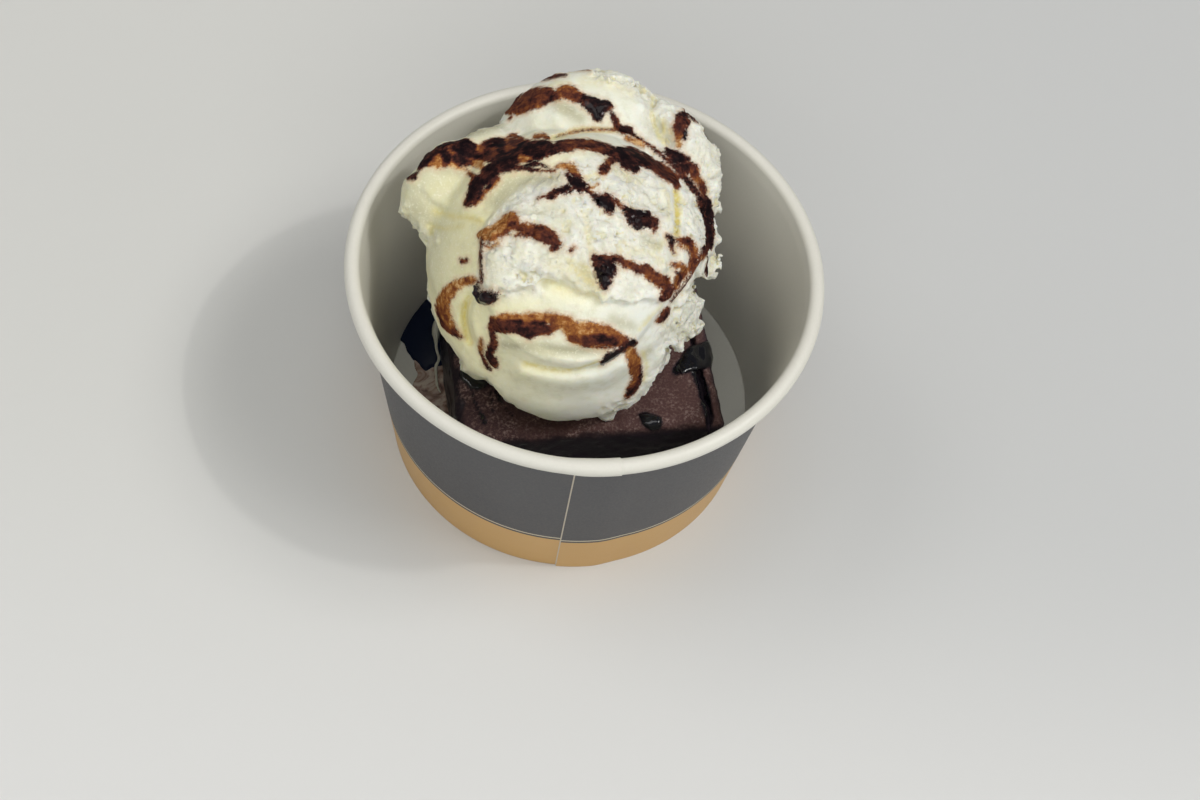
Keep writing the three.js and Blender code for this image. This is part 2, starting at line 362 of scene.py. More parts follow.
# Scoop relief, drawn in the photograph's pixels: where the folds and creases lie on the side it shows
PIXELS_PER_MM = 5.1
FOLD_HEIGHT = 1.9               # mm by which the torn fold stands out
SHEET_HEIGHT = 1.3              # mm by which the smooth sheet under it stands out
RAGGED_REACH = 9.0              # pixels over which a ragged edge fades
TORN_FOLD = [
    (480, 240), (479, 262), (481, 275), (485, 285), (491, 290), (500, 287), (507, 291), (513, 288),
    (536, 288), (540, 281), (549, 277), (560, 280), (571, 285), (582, 291), (592, 293), (601, 292),
    (604, 301), (622, 303), (642, 303), (657, 300), (669, 295), (680, 280), (686, 262), (688, 240),
    (684, 213), (674, 192), (658, 179), (638, 166), (605, 158), (575, 163), (548, 172), (520, 186),
    (500, 205), (487, 222),
]
FRONT_SHEET = [
    (484, 283), (480, 262), (479, 242), (486, 224), (503, 160), (540, 120), (600, 110), (680, 150),
    (704, 200), (705, 240), (699, 262), (689, 276), (668, 301), (636, 342), (604, 363), (575, 369),
    (545, 362), (520, 350), (500, 330), (488, 305),
]
SHELVES = [  # lower edge of a fold from left to right, and its height in mm
    ([(508, 349), (524, 358), (546, 364), (574, 366), (600, 360), (616, 350)], 0.9),
    ([(424, 190), (432, 201), (447, 208), (464, 214), (482, 219)], 0.8),
    ([(402, 182), (412, 186), (424, 190)], 0.5),
]
STROKE_DEPTH = 2.0              # mm in front of and behind a narrow stroke on which it lies whole
RAYS_FROM = 340.0               # mm in front of the camera, where rays towards the scoop start
RAYS_REACH = 140.0
SHELF_REACH = 16.0              # pixels over which a fold fades into the surface above it
CREASES = [  # path, width in mm, depth in mm
    ([(553, 139), (575, 133), (591, 130), (617, 130), (636, 138)], 0.5, 1.1),
    ([(653, 99), (653, 105), (651, 114), (655, 124), (659, 135), (668, 147)], 1.1, 1.7),
    ([(674, 192), (677, 212), (676, 234)], 0.8, 1.3),
    ([(670, 236), (671, 246), (674, 254)], 0.8, 1.6),
    ([(586, 214), (589, 236), (593, 258)], 1.0, 0.7),
    ([(497, 201), (515, 190), (540, 182), (562, 178)], 3.0, 1.3),
    ([(480, 207), (470, 203), (452, 205)], 1.2, 0.6),
    ([(548, 279), (566, 287), (590, 296)], 1.6, 0.6),
    ([(471, 297), (466, 306), (465, 317), (467, 329), (471, 341)], 0.8, 1.7),
    ([(672, 303), (675, 318), (670, 334)], 1.0, 0.8),
    ([(540, 346), (562, 352), (586, 353), (608, 348)], 0.8, 0.5),
]
RIDGES = [
    ([(500, 306), (540, 301), (600, 309), (650, 308)], 3.0, 0.5),
    ([(545, 354), (562, 359), (582, 361), (600, 358)], 0.6, 0.35),
    ([(522, 374), (548, 381), (576, 382), (604, 375), (622, 366)], 2.0, 1.8),
    ([(476, 300), (473, 318), (476, 336)], 0.9, 0.5),
    ([(560, 100), (556, 114), (558, 126)], 1.2, 0.35),
    ([(536, 103), (532, 116), (536, 130)], 1.2, 0.25),
]
RAGGED = [  # edges that are torn into crumbs, and how much
    ([(400, 212), (404, 222), (412, 227), (421, 232), (429, 237)], 1.0),
    ([(482, 280), (491, 289), (507, 290), (536, 288)], 1.0),
    ([(718, 196), (713, 212), (711, 228), (716, 243), (714, 256), (716, 268), (702, 277)], 1.0),
    ([(694, 290), (692, 300), (698, 310), (701, 324), (692, 333), (680, 344), (670, 338)], 1.0),
    ([(598, 72), (626, 82), (648, 95), (668, 99), (688, 108)], 1.0),
    ([(664, 349), (661, 362), (652, 378), (641, 394), (624, 407), (604, 415)], 0.5),
]
COMBED = [(503, 172), (552, 172), (572, 186), (540, 205), (512, 214), (484, 224), (482, 205)]
NOTCH = [
    (687, 292), (686, 298), (692, 299), (696, 303), (699, 310), (702, 318), (730, 318), (726, 275),
    (706, 274), (697, 274), (691, 277), (690, 285),
]
LUMPS = [  # crumbs of ice cream: pixel, radius in mm, and the lobe that carries it
    ((699, 325), 1.2, 5), ((690, 308), 1.5, 5), ((684, 326), 1.5, 5), ((677, 342), 1.0, 5),
    ((697, 304), 0.5, 5), ((680, 344), 1.2, 5), ((710, 259), 1.3, 4),
    ((715, 263), 0.8, 4), ((704, 266), 2.2, 4), ((707, 263), 1.8, 4), ((712, 236), 1.0, 4),
    ((713, 206), 0.8, 4),
    ((406, 213), 1.0, 6), ((417, 224), 0.8, 6), ((427, 231), 0.8, 6),
]
BASE_LUMPS = [((531, 407), 1.1), ((524, 409), 0.8), ((604, 409), 1.6), ((612, 411), 1.0), ((661, 356), 0.9)]
CUT_AWAY = [  # beside the scoop at the lower left, where it is drawn in
    (380, 300), (429, 301), (436, 324), (442, 334), (447, 340), (452, 347), (458, 356), (463, 364),
    (465, 371), (470, 372), (477, 375), (487, 376), (493, 383), (506, 397), (521, 408), (534, 414),
    (546, 420), (560, 430), (380, 430),
]
EAR_OUTSIDE = [
    (380, 214), (399, 206), (401, 193), (405, 183), (410, 178), (416, 172.5), (420, 166), (424, 159),
    (430, 152.5), (436, 149), (443, 145), (450, 143), (460, 141), (466, 137.5),
    (472, 132.5), (479, 128.5), (488, 125), (498, 121), (500, 105), (380, 105),
]
RIGHT_OUTSIDE = [
    (688, 108), (694, 116), (700, 126), (706, 137), (711, 147), (716, 157), (719, 166), (721, 178),
    (722, 188), (720, 198), (716, 203), (715, 210), (711, 218), (710, 226), (712, 230), (714, 234),
    (715, 241), (711, 246), (710, 251), (713, 256), (716, 262), (712, 267), (709, 272), (698, 275),
    (692, 276), (760, 277), (760, 100),
]
LOWER_RIGHT_OUTSIDE = [
    (704, 318), (703, 327), (698, 331), (691, 333), (686, 335), (682, 340), (678, 347), (673, 345),
    (671, 339), (668, 335), (666, 342), (664, 349), (664, 357), (661, 362), (658, 370), (653, 377),
    (649, 384), (644, 391), (637, 398), (630, 403), (624, 408), (619, 408), (616, 413), (611, 418),
    (604, 418), (597, 420), (600, 450), (760, 440), (760, 318),
]
YELLOW_AND_SHADE_MARKS = [  # path, half width in pixels, strength of a darker yellow tint: partly the cream's own colour in thin or melted places, partly painted shade along creases and folds
    ([(675, 192), (677, 212), (676, 235)], 5.0, 1.2),
    ([(662, 184), (669, 198), (669, 218)], 4.0, 0.4),
    ([(666, 240), (658, 248)], 6.0, 0.4),
    ([(630, 250), (650, 252), (662, 262)], 6.0, 0.35),
    ([(548, 281), (566, 290), (590, 292), (604, 299)], 7.0, 0.4),
    ([(570, 262), (580, 275), (592, 284)], 6.0, 0.6),
    ([(585, 213), (588, 236), (592, 260)], 4.5, 0.4),
    ([(653, 97), (651, 112), (655, 126), (660, 138)], 3.5, 0.6),
    ([(664, 120), (663, 132)], 3.0, 0.6),
    ([(556, 138), (577, 133), (592, 132), (617, 132)], 2.0, 0.8),
    ([(436, 212), (452, 216), (470, 218), (482, 222)], 6.0, 0.6),
    ([(430, 226), (446, 229), (462, 226)], 5.0, 0.5),
    ([(525, 363), (545, 368), (562, 370), (580, 368), (600, 361)], 3.5, 0.8),
    ([(466, 302), (464, 318), (467, 336)], 4.0, 1.0),
    ([(640, 330), (650, 318), (662, 306)], 4.0, 0.5),
    ([(643, 352), (647, 366), (643, 382)], 5.0, 0.6),
    ([(584, 266), (592, 276), (598, 290)], 7.0, 0.5),
    ([(545, 90), (556, 83), (568, 84)], 5.0, 0.4),
    ([(606, 160), (618, 172), (640, 182)], 6.0, 0.4),
    ([(584, 80), (606, 82), (630, 92)], 9.0, 0.3),
    ([(560, 268), (572, 280), (590, 288)], 10.0, 0.3),
]
PAINTED_SHADE_MARKS = [  # the same for painted shade: a greyer, darker tint where the surface lies in shade
    ([(496, 202), (510, 184), (530, 180), (556, 178)], 11.0, 0.8),
    ([(500, 172), (512, 170)], 6.0, 0.8),
    ([(468, 134), (482, 131), (500, 126)], 9.0, 0.9),
    ([(556, 104), (568, 112), (580, 118)], 7.0, 0.8),
    ([(655, 130), (664, 140)], 7.0, 0.6),
    ([(504, 345), (530, 347), (560, 350), (604, 349)], 8.0, 0.85),
    ([(489, 248), (489, 278)], 9.0, 0.4),
    ([(406, 196), (420, 214), (440, 228)], 10.0, 0.4),
    ([(638, 360), (650, 350)], 8.0, 0.6),
    ([(662, 322), (678, 332)], 8.0, 0.5),
    ([(444, 170), (462, 173)], 6.0, 0.5),
    ([(552, 96), (572, 112)], 7.0, 0.9),
    ([(664, 126), (672, 138)], 8.0, 0.8),
    ([(498, 180), (506, 162)], 7.0, 0.7),
    ([(500, 222), (516, 232)], 8.0, 0.6),
    ([(584, 268), (594, 284)], 7.0, 0.7),
    ([(646, 240), (658, 246)], 7.0, 0.7),
    ([(614, 320), (630, 326)], 8.0, 0.6),
]


def at_lobe(pixel, lobe):
    """Where the ray through a pixel passes a lobe's centre."""
    ray = photo_rays([pixel])[0]
    depth = (np.array(LOBES[lobe][0]) - CAMERA_AT) @ CAMERA_FORWARD
    return CAMERA_AT + ray * depth / (ray @ CAMERA_FORWARD)


def at_level(pixel, height):
    """Where the ray through a pixel meets a level plane."""
    ray = photo_rays([pixel])[0]
    return CAMERA_AT + ray * (height - CAMERA_AT[2]) / ray[2]


def scoop_lobes(points):
    distance = None
    for centre, half, turn, softness in LOBES:
        lobe = ellipsoid(points, centre, half, turn)
        distance = lobe if distance is None else join(distance, lobe, softness)
    return distance


def add_lumps(points, distance):
    """Joins the small crumbs to the scoop, and trims it to the outlines."""
    places = [(at_lobe(pixel, lobe), radius) for pixel, radius, lobe in LUMPS]
    places += [(at_level(pixel, SCOOP_BOTTOM + 1.4), radius) for pixel, radius in BASE_LUMPS]
    for centre, radius in places:
        close = np.all(np.abs(points - centre) < radius + 3.0, axis=-1)
        lump = np.linalg.norm(points[close] - centre, axis=-1) - radius
        distance[close] = join(distance[close], lump + 0.3 * noise(points[close], 1.0, 18), 0.8)
    low_left = (distance < 5.0) & (points[..., 0] < 0.0) & (points[..., 2] < 50.0)
    trim(points, distance, low_left, CUT_AWAY, 1.2)
    low_right = (distance < 5.0) & (points[..., 0] > 3.0) & (points[..., 2] < 56.0)
    trim(points, distance, low_right, LOWER_RIGHT_OUTSIDE, 0.8)
    trim(points, distance, (distance < 4.0) & (points[..., 0] > 12.0), RIGHT_OUTSIDE, 0.6)
    trim(points, distance, (distance < 4.0) & (points[..., 0] > 12.0), NOTCH, 0.3)
    high_left = (distance < 4.0) & (points[..., 0] < -12.0) & (points[..., 2] > 50.0)
    trim(points, distance, high_left, EAR_OUTSIDE, 1.8)
    return distance


def trim(points, distance, close, outline, softness):
    """Cuts away what the camera sees inside an outline, with a rounded edge."""
    x, y, _ = to_photo(points[close])
    cut = outline_distance(x, y, outline) / PIXELS_PER_MM + 0.3 * noise(points[close], 1.2, 20)
    distance[close] = -join(-distance[close], cut, softness)


def rounded_layer(flat, level, radius):
    """Distance to a layer with a round edge, from the distances to its outline and to its top."""
    corner = np.hypot(np.maximum(flat + radius, 0.0), np.maximum(level + radius, 0.0)) - radius
    return np.where((flat + radius > 0) & (level + radius > 0), corner, np.maximum(flat, level))


def torn_texture(points):
    """Flaky, icy relief from about -1 to 1: small plates with sharp edges, chips and grains."""
    bend = np.stack([noise(points, 2.6, s) for s in (1, 2, 3)], -1)
    bent = points + 1.1 * bend
    plates = 2.4 * noise(bent, 2.7, 4)
    level = np.floor(plates)
    plates = (level + smoothstep(0.25, 0.6, plates - level)) / 2.4
    chips = 1.0 - 2.0 * np.abs(noise(bent, 1.25, 5))
    grains = noise(points, 0.75, 6)
    return 0.75 * plates + 0.45 * chips + 0.4 * grains + 0.5 * noise(points, 3.6, 7)


def shelf_rise(x, y):
    """Height of the overlapping folds, sharp at their lower edges."""
    rise = np.zeros(x.shape)
    for edge, height in SHELVES:
        above = [(px, py - 4.0 * SHELF_REACH) for px, py in reversed(edge)]
        inside = -outline_distance(x, y, edge + above)
        fade = np.exp(-np.maximum(path_distance(x, y, edge), 0.0) / SHELF_REACH)
        rise += height * smoothstep(-4.0, 4.0, inside) * fade
    return rise


def strips(x, y, marks):
    """Sum of soft-edged strips along paths, each with its width and its height in mm."""
    total = np.zeros(x.shape)
    for path, width, height in marks:
        near = path_distance(x, y, path) / (width * PIXELS_PER_MM)
        total += height * np.exp(-near * near)
    return total


def fold_relief(x, y, fold):
    """Height of the folds, ridges and creases that the photograph shows, in mm."""
    sheet = outline_distance(x, y, FRONT_SHEET)
    right = smoothstep(640.0, 680.0, x) * smoothstep(150.0, 190.0, y)
    raised = np.maximum(smoothstep(200.0, 290.0, y), right)
    height = FOLD_HEIGHT * smoothstep(1.6, -1.2, fold) * smoothstep(150.0, 270.0, y)
    height += SHEET_HEIGHT * smoothstep(2.0, -2.0, sheet) * raised
    return height + shelf_rise(x, y) - strips(x, y, CREASES) + strips(x, y, RIDGES)


def ragged_edges(x, y):
    """1 on the edges that are torn into crumbs, and 0 away from them."""
    ragged = np.zeros(x.shape)
    for path, strength in RAGGED:
        near = path_distance(x, y, path) / RAGGED_REACH
        ragged = np.maximum(ragged, strength * np.exp(-near * near))
    return ragged


def torn_share(points, facing, y, fold, ragged):
    """How torn the surface is, from 0 to 1, on the side that shows and on the others."""
    torn = np.maximum(smoothstep(3.0, -5.0, fold), ragged) * facing
    right_edge = smoothstep(14.0, 19.0, points[..., 0] + 2.0 * noise(points, 5.0, 13))
    right_edge *= 1.0 - facing * smoothstep(334.0, 348.0, y)
    crown_right = smoothstep(4.0, 10.0, points[..., 0]) * smoothstep(14.0, 20.0, points[..., 1])
    behind = (1.0 - facing) * smoothstep(-0.2, 0.5, noise(points, 11.0, 14))
    bridge = smoothstep(9.0, 6.0, np.linalg.norm(points - np.array(LOBES[7][0]), axis=-1))
    return np.maximum.reduce([torn, right_edge, 0.8 * crown_right, 0.7 * behind, 0.4 * bridge])


def scoop_height(points, facing):
    """How far the surface stands out of the plain lobes, in mm, and how torn it is, from 0 to 1."""
    x, y, _ = to_photo(points)
    wobble = 5.0 * noise(points, 2.2, 11) + 3.5 * noise(points, 1.0, 12)
    fold = outline_distance(x, y, TORN_FOLD) + wobble * smoothstep(500.0, 560.0, x)
    ragged = ragged_edges(x, y)
    torn = torn_share(points, facing, y, fold, ragged)
    height = facing * fold_relief(x, y, fold)
    height += 0.55 * noise(points, 9.0, 15) + 0.3 * noise(points, 4.5, 16)
    height += (1.1 * torn + 0.35 * ragged * facing) * torn_texture(points)
    combed = facing * smoothstep(3.0, -6.0, outline_distance(x, y, COMBED))
    furrows = np.stack([x + 0.3 * y, 0.15 * y, 0.0 * y], -1)
    height += combed * (0.22 * noise(furrows, 5.0, 24) + 0.1 * noise(furrows, 2.4, 26))
    hem = smoothstep(SCOOP_BOTTOM + 2.2, SCOOP_BOTTOM + 0.4, points[..., 2])
    height += hem * (0.5 + 0.7 * noise(points, 1.8, 25)) + 0.04 * noise(points, 0.9, 17)
    return height, torn


def sculpt_scoop(step):
    grid = Grid((-41.0, -31.0, SCOOP_BOTTOM - 1.5), (28.0, 43.0, 84.0), step)
    points = grid.points()
    base = add_lumps(points, scoop_lobes(points)).astype(np.float32)
    slope = np.stack(np.gradient(base, step), -1)
    band = np.abs(base) < 3.6
    near = points[band]
    outward = slope[band] / (np.linalg.norm(slope[band], axis=1, keepdims=True) + 1e-6)
    facing = smoothstep(-0.1, 0.25, -(outward @ CAMERA_FORWARD))
    height, torn = scoop_height(near, facing)
    field = base.copy()
    field[band] = base[band] - height
    grid.field = np.maximum(field, SCOOP_BOTTOM - points[..., 2]).astype(np.float32)
    torn_field = np.zeros_like(field)
    torn_field[band] = torn
    return grid, grid.like(torn_field)


# Materials


def new_material(name, roughness, color=None):
    """A material, its node tree and its shader."""
    material = bpy.data.materials.new(name)
    material.use_nodes = True
    shader = material.node_tree.nodes["Principled BSDF"]
    shader.inputs["Roughness"].default_value = roughness
    if color is not None:
        shader.inputs["Base Color"].default_value = (*color, 1.0)
    return material, material.node_tree, shader


def linear(red, green, blue):
    """Linear colour from the 0 to 255 values of the photograph."""
    def one(value):
        value = value / 255.0
        return value / 12.92 if value <= 0.04045 else ((value + 0.055) / 1.055) ** 2.4
    return (one(red), one(green), one(blue))


def mix_color(tree, factor, first, second):
    node = tree.nodes.new("ShaderNodeMix")
    node.data_type = "RGBA"
    plug(tree, factor, node.inputs["Factor"])
    plug(tree, first, node.inputs["A"])
    plug(tree, second, node.inputs["B"])
    return node.outputs["Result"]


def plug(tree, source, socket):
    """Connects a socket, or sets a constant on it."""
    if isinstance(source, bpy.types.NodeSocket):
        tree.links.new(source, socket)
    elif isinstance(source, tuple) and len(source) == 3:
        socket.default_value = (*source, 1.0)
    else:
        socket.default_value = source


def object_axes(tree):
    """The object's own X, Y and Z, in metres."""
    coordinates = tree.nodes.new("ShaderNodeTexCoord")
    parts = tree.nodes.new("ShaderNodeSeparateXYZ")
    tree.links.new(coordinates.outputs["Object"], parts.inputs["Vector"])
    return parts.outputs["X"], parts.outputs["Y"], parts.outputs["Z"]


def attribute(tree, name):
    node = tree.nodes.new("ShaderNodeAttribute")
    node.attribute_name = name
    return node.outputs["Fac"]


def math_node(tree, operation, first, second=None):
    node = tree.nodes.new("ShaderNodeMath")
    node.operation = operation
    plug(tree, first, node.inputs[0])
    if second is not None:
        plug(tree, second, node.inputs[1])
    return node.outputs["Value"]


def remap(tree, source, low, high, to_low=0.0, to_high=1.0, smooth=True):
    node = tree.nodes.new("ShaderNodeMapRange")
    node.interpolation_type = "SMOOTHSTEP" if smooth else "LINEAR"
    plug(tree, source, node.inputs["Value"])
    node.inputs["From Min"].default_value = low
    node.inputs["From Max"].default_value = high
    node.inputs["To Min"].default_value = to_low
    node.inputs["To Max"].default_value = to_high
    return node.outputs["Result"]


def noise_texture(tree, size_mm, detail=3.0, roughness=0.55, distortion=0.0):
    """Noise in object space with features about as wide as size_mm."""
    coordinates = tree.nodes.new("ShaderNodeTexCoord")
    node = tree.nodes.new("ShaderNodeTexNoise")
    node.inputs["Scale"].default_value = 1.0 / (size_mm * MM)
    node.inputs["Detail"].default_value = detail
    node.inputs["Roughness"].default_value = roughness
    node.inputs["Distortion"].default_value = distortion
    tree.links.new(coordinates.outputs["Object"], node.inputs["Vector"])
    return node.outputs["Fac"]


def ramp(tree, source, stops):
    node = tree.nodes.new("ShaderNodeValToRGB")
    while len(node.color_ramp.elements) < len(stops):
        node.color_ramp.elements.new(0.5)
    for element, (position, color) in zip(node.color_ramp.elements, stops):
        element.position = position
        element.color = (*color, 1.0)
    plug(tree, source, node.inputs["Fac"])
    return node.outputs["Color"]


def bump(tree, shader, height, strength, distance_mm):
    node = tree.nodes.new("ShaderNodeBump")
    node.inputs["Strength"].default_value = strength
    node.inputs["Distance"].default_value = distance_mm * MM
    plug(tree, height, node.inputs["Height"])
    tree.links.new(node.outputs["Normal"], shader.inputs["Normal"])


SYRUP_TONES = [  # thickness of the syrup, and its colour
    (0.0, linear(212, 172, 118)), (0.2, linear(162, 106, 56)), (0.4, linear(118, 67, 43)),
    (0.6, linear(82, 46, 39)), (0.78, linear(44, 28, 28)), (0.95, linear(25, 18, 21)),
]
THICKEST = 1.25


def clouded_cream(tree, color, pale, x, z):
    """Adds soft clouds and blotches, painted shade at the left end, and fewer blotches low down, which
    paints light there.
    """
    clouded = mix_color(tree, pale, linear(229, 223, 180), linear(231, 230, 208))
    cloud = remap(tree, noise_texture(tree, 6.0), 0.45, 0.7, 0.0, 0.35)
    color = mix_color(tree, cloud, color, clouded)
    # painted shade: the upper left end greyer and darker
    upper = remap(tree, z, 0.052, 0.058, 0.3, 1.0)
    painted_left_shade = math_node(tree, "MULTIPLY", remap(tree, x, -0.034, -0.02, 0.8, 0.0), upper)
    color = mix_color(tree, painted_left_shade, color, linear(209, 207, 178))
    blotch = remap(tree, noise_texture(tree, 2.4), 0.45, 0.72, 0.0, 0.5)
    # painted light: fewer of the darker blotches low down, so the lower part is brighter
    blotch = math_node(tree, "MULTIPLY", blotch, remap(tree, z, 0.038, 0.056, 0.2, 1.0))
    blotched = mix_color(tree, pale, linear(216, 211, 168), linear(217, 216, 198))
    return mix_color(tree, blotch, color, blotched)


def marked_cream(tree, color, torn):
    """Adds painted shade in pits where it is torn, pale specks, yellow marks that are partly painted shade,
    painted shade in hollows, and a stain beside the syrup.
    """
    grain = noise_texture(tree, 0.8)
    # painted shade: greyer pits at random over the torn surface
    pit_shade = remap(tree, noise_texture(tree, 1.2, 4.0, 0.7), 0.32, 0.48, 0.5, 0.0)
    color = mix_color(tree, math_node(tree, "MULTIPLY", torn, pit_shade), color, linear(196, 192, 172))
    specks = remap(tree, noise_texture(tree, 0.5, 4.0, 0.7), 0.52, 0.72, 0.0, 0.6)
    color = mix_color(tree, specks, color, linear(248, 246, 230))
    # painted shade: creases and pits tinted darker and yellower
    shade_in_hollow = remap(tree, attribute(tree, "hollow_shade"), 0.15, 1.0, 0.0, 0.5)
    # darker yellow marks: partly the cream's own colour, partly painted shade in creases and hollows
    yellow_and_shade = math_node(tree, "MAXIMUM", attribute(tree, "yellow_and_shade"), shade_in_hollow)
    mark = math_node(tree, "MULTIPLY", yellow_and_shade, remap(tree, grain, 0.3, 0.6, 0.5, 1.0))
    color = mix_color(tree, mark, color, linear(222, 208, 132))
    stain = remap(tree, attribute(tree, "syrup"), -1.3, -0.1, 0.0, 0.5)
    stain = math_node(tree, "MULTIPLY", stain, remap(tree, grain, 0.35, 0.6, 0.3, 1.0))
    return mix_color(tree, stain, color, linear(214, 186, 156))


def cream_color(tree):
    """Cream white: yellower at the left, whiter where it is torn and at the right, with painted light on
    its lower part and painted shade in hollows, creases and marks.
    """
    torn = attribute(tree, "torn")
    x, y, z = object_axes(tree)
    to_right = remap(tree, x, -0.024, 0.014, 0.0, 0.9)
    to_back = remap(tree, y, 0.005, 0.026, 0.0, 0.7)
    pale = math_node(tree, "MAXIMUM", to_right, to_back)
    color = mix_color(tree, pale, linear(241, 236, 191), linear(240, 243, 237))
    # painted light: the lower part of the scoop is made whiter and brighter
    low = remap(tree, z, 0.038, 0.056, 0.85, 0.0)
    color = mix_color(tree, low, color, mix_color(tree, pale, linear(250, 249, 230), linear(255, 255, 248)))
    color = mix_color(tree, torn, color, linear(241, 241, 230))
    color = clouded_cream(tree, color, pale, x, z)
    # painted shade from the shade marks
    color = mix_color(tree, attribute(tree, "painted_shade"), color, linear(188, 184, 153))
    return marked_cream(tree, color, torn)


def syrup_color(tree, syrup):
    """Caramel where the syrup is thin and nearly black where it is thick, lighter towards its edge."""
    mottle = math_node(tree, "SUBTRACT", noise_texture(tree, 2.4, 4.0, 0.55), 0.5)
    uneven = remap(tree, attribute(tree, "tone"), 0.4, 0.7, 0.7, 1.15)
    speckle = noise_texture(tree, 0.5, 3.0, 0.6)
    body = remap(tree, syrup, -0.1, 0.9, 0.62, 1.0)
    depth = math_node(tree, "MULTIPLY", attribute(tree, "tone"), body)
    depth = math_node(tree, "ADD", depth, math_node(tree, "MULTIPLY", mottle, uneven))
    grains = math_node(tree, "SUBTRACT", noise_texture(tree, 1.0, 4.0, 0.7), 0.5)
    grainy = remap(tree, attribute(tree, "tone"), 0.35, 0.8, 1.3, 0.95)
    depth = math_node(tree, "ADD", depth, math_node(tree, "MULTIPLY", grains, grainy))
    rim = remap(tree, syrup, 0.15, 0.6, 0.5, 0.0)
    dots = math_node(tree, "MULTIPLY", rim, remap(tree, speckle, 0.5, 0.68))
    depth = math_node(tree, "ADD", depth, dots)
    return ramp(tree, math_node(tree, "DIVIDE", depth, THICKEST), SYRUP_TONES)


def ice_cream_bump(tree, shader, wet):
    """Fine relief: flaky where torn, nearly none on thick syrup."""
    torn = attribute(tree, "torn")
    uneven = math_node(tree, "SUBTRACT", noise_texture(tree, 1.0, 5.0, 0.7), 0.5)
    ridged = math_node(tree, "ABSOLUTE", uneven)
    flakes = math_node(tree, "MULTIPLY", ridged, math_node(tree, "MULTIPLY", torn, -3.2))
    rough = remap(tree, torn, 0.0, 1.0, 0.6, 1.0)
    grains = math_node(tree, "MULTIPLY", noise_texture(tree, 0.5, 4.0, 0.65), rough)
    dry = math_node(tree, "ADD", flakes, grains)
    bump(tree, shader, math_node(tree, "MULTIPLY", dry, remap(tree, wet, 0.0, 1.0, 1.0, 0.12)), 0.7, 0.24)


def ice_cream_material():
    material, tree, shader = new_material("vanilla_ice_cream", 0.42)
    fringe = math_node(tree, "SUBTRACT", noise_texture(tree, 0.6, 6.0, 0.75), 0.5)
    spread_out = remap(tree, attribute(tree, "torn"), 0.0, 1.0, 1.4, 2.2)
    fringe = math_node(tree, "MULTIPLY", fringe, spread_out)
    syrup = math_node(tree, "ADD", attribute(tree, "syrup"), fringe)
    softness = remap(tree, attribute(tree, "tone"), 0.3, 0.9, 1.3, 2.1)
    cover = remap(tree, math_node(tree, "MULTIPLY", syrup, softness), -0.5, 0.7)
    color = mix_color(tree, cover, cream_color(tree), syrup_color(tree, syrup))
    tree.links.new(color, shader.inputs["Base Color"])
    wet = math_node(tree, "MULTIPLY", cover, remap(tree, attribute(tree, "tone"), 0.3, 1.1, 0.3, 1.0))
    glossy = math_node(tree, "MULTIPLY", cover, remap(tree, attribute(tree, "tone"), 1.06, 1.18, 0.06, 1.0))
    tree.links.new(glossy, shader.inputs["Coat Weight"])
    tree.links.new(remap(tree, cover, 0.0, 1.0, 0.35, 0.0), shader.inputs["Subsurface Weight"])
    shader.inputs["Specular IOR Level"].default_value = 0.0
    shader.inputs["Coat Roughness"].default_value = 0.08
    shader.inputs["Coat IOR"].default_value = 1.26
    shader.inputs["Subsurface Radius"].default_value = (1.0, 0.75, 0.45)
    shader.inputs["Subsurface Scale"].default_value = 0.0016
    ice_cream_bump(tree, shader, wet)
    return material


def build_scoop():
    step = 0.46
    grid, torn_grid = sculpt_scoop(step)
    vertices, faces = surface_net(grid)
    piece = make_mesh("scoop", vertices, faces, ice_cream_material())
    normals = vertex_normals(piece)
    syrup = syrup_on(grid, vertices, normals)
    set_values(piece, "syrup", syrup.inside)
    set_values(piece, "tone", syrup.tone)
    set_values(piece, "torn", torn_grid.sample(vertices))
    set_values(piece, "hollow_shade", hollows(grid, vertices, normals))
    set_values(piece, "yellow_and_shade", marks_at(vertices, normals, YELLOW_AND_SHADE_MARKS))
    set_values(piece, "painted_shade", marks_at(vertices, normals, PAINTED_SHADE_MARKS))
    raised = vertices + normals * syrup.rise[:, None]
    move_to(piece, below_top(raised))
    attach(piece, "root")
    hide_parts("ice_cream")
    return grid


def below_top(vertices):
    """Presses the highest bumps down until they are under the top of the model."""
    start = SCOOP_TOP - 1.4
    above = np.maximum(vertices[:, 2] - start, 0.0)
    pressed = vertices.copy()
    pressed[:, 2] = np.minimum(vertices[:, 2], start) + 1.3 * (1.0 - np.exp(-above / 1.3))
    return pressed


def hollows(grid, vertices, normals):
    """1 in creases and pits, 0 on plain or rounded surface: where the cream is given painted shade."""
    wide = smoothstep(0.3, 1.3, 1.8 - grid.sample(vertices + normals * 1.8))
    narrow = smoothstep(0.12, 0.5, 0.8 - grid.sample(vertices + normals * 0.8))
    return np.maximum(wide, 0.7 * narrow)


def slant(normals):
    """1 where the surface faces the camera, and less where it is seen from the side."""
    return np.clip(-(normals @ CAMERA_FORWARD), 0.2, 1.0)


def marks_at(vertices, normals, marks):
    x, y, _ = to_photo(vertices)
    tint = np.zeros(len(vertices))
    for path, width, strength in marks:
        near = path_distance(x, y, path) / (width * slant(normals))
        tint = np.maximum(tint, strength * np.exp(-near * near))
    return tint * smoothstep(0.1, -0.1, normals @ CAMERA_FORWARD)


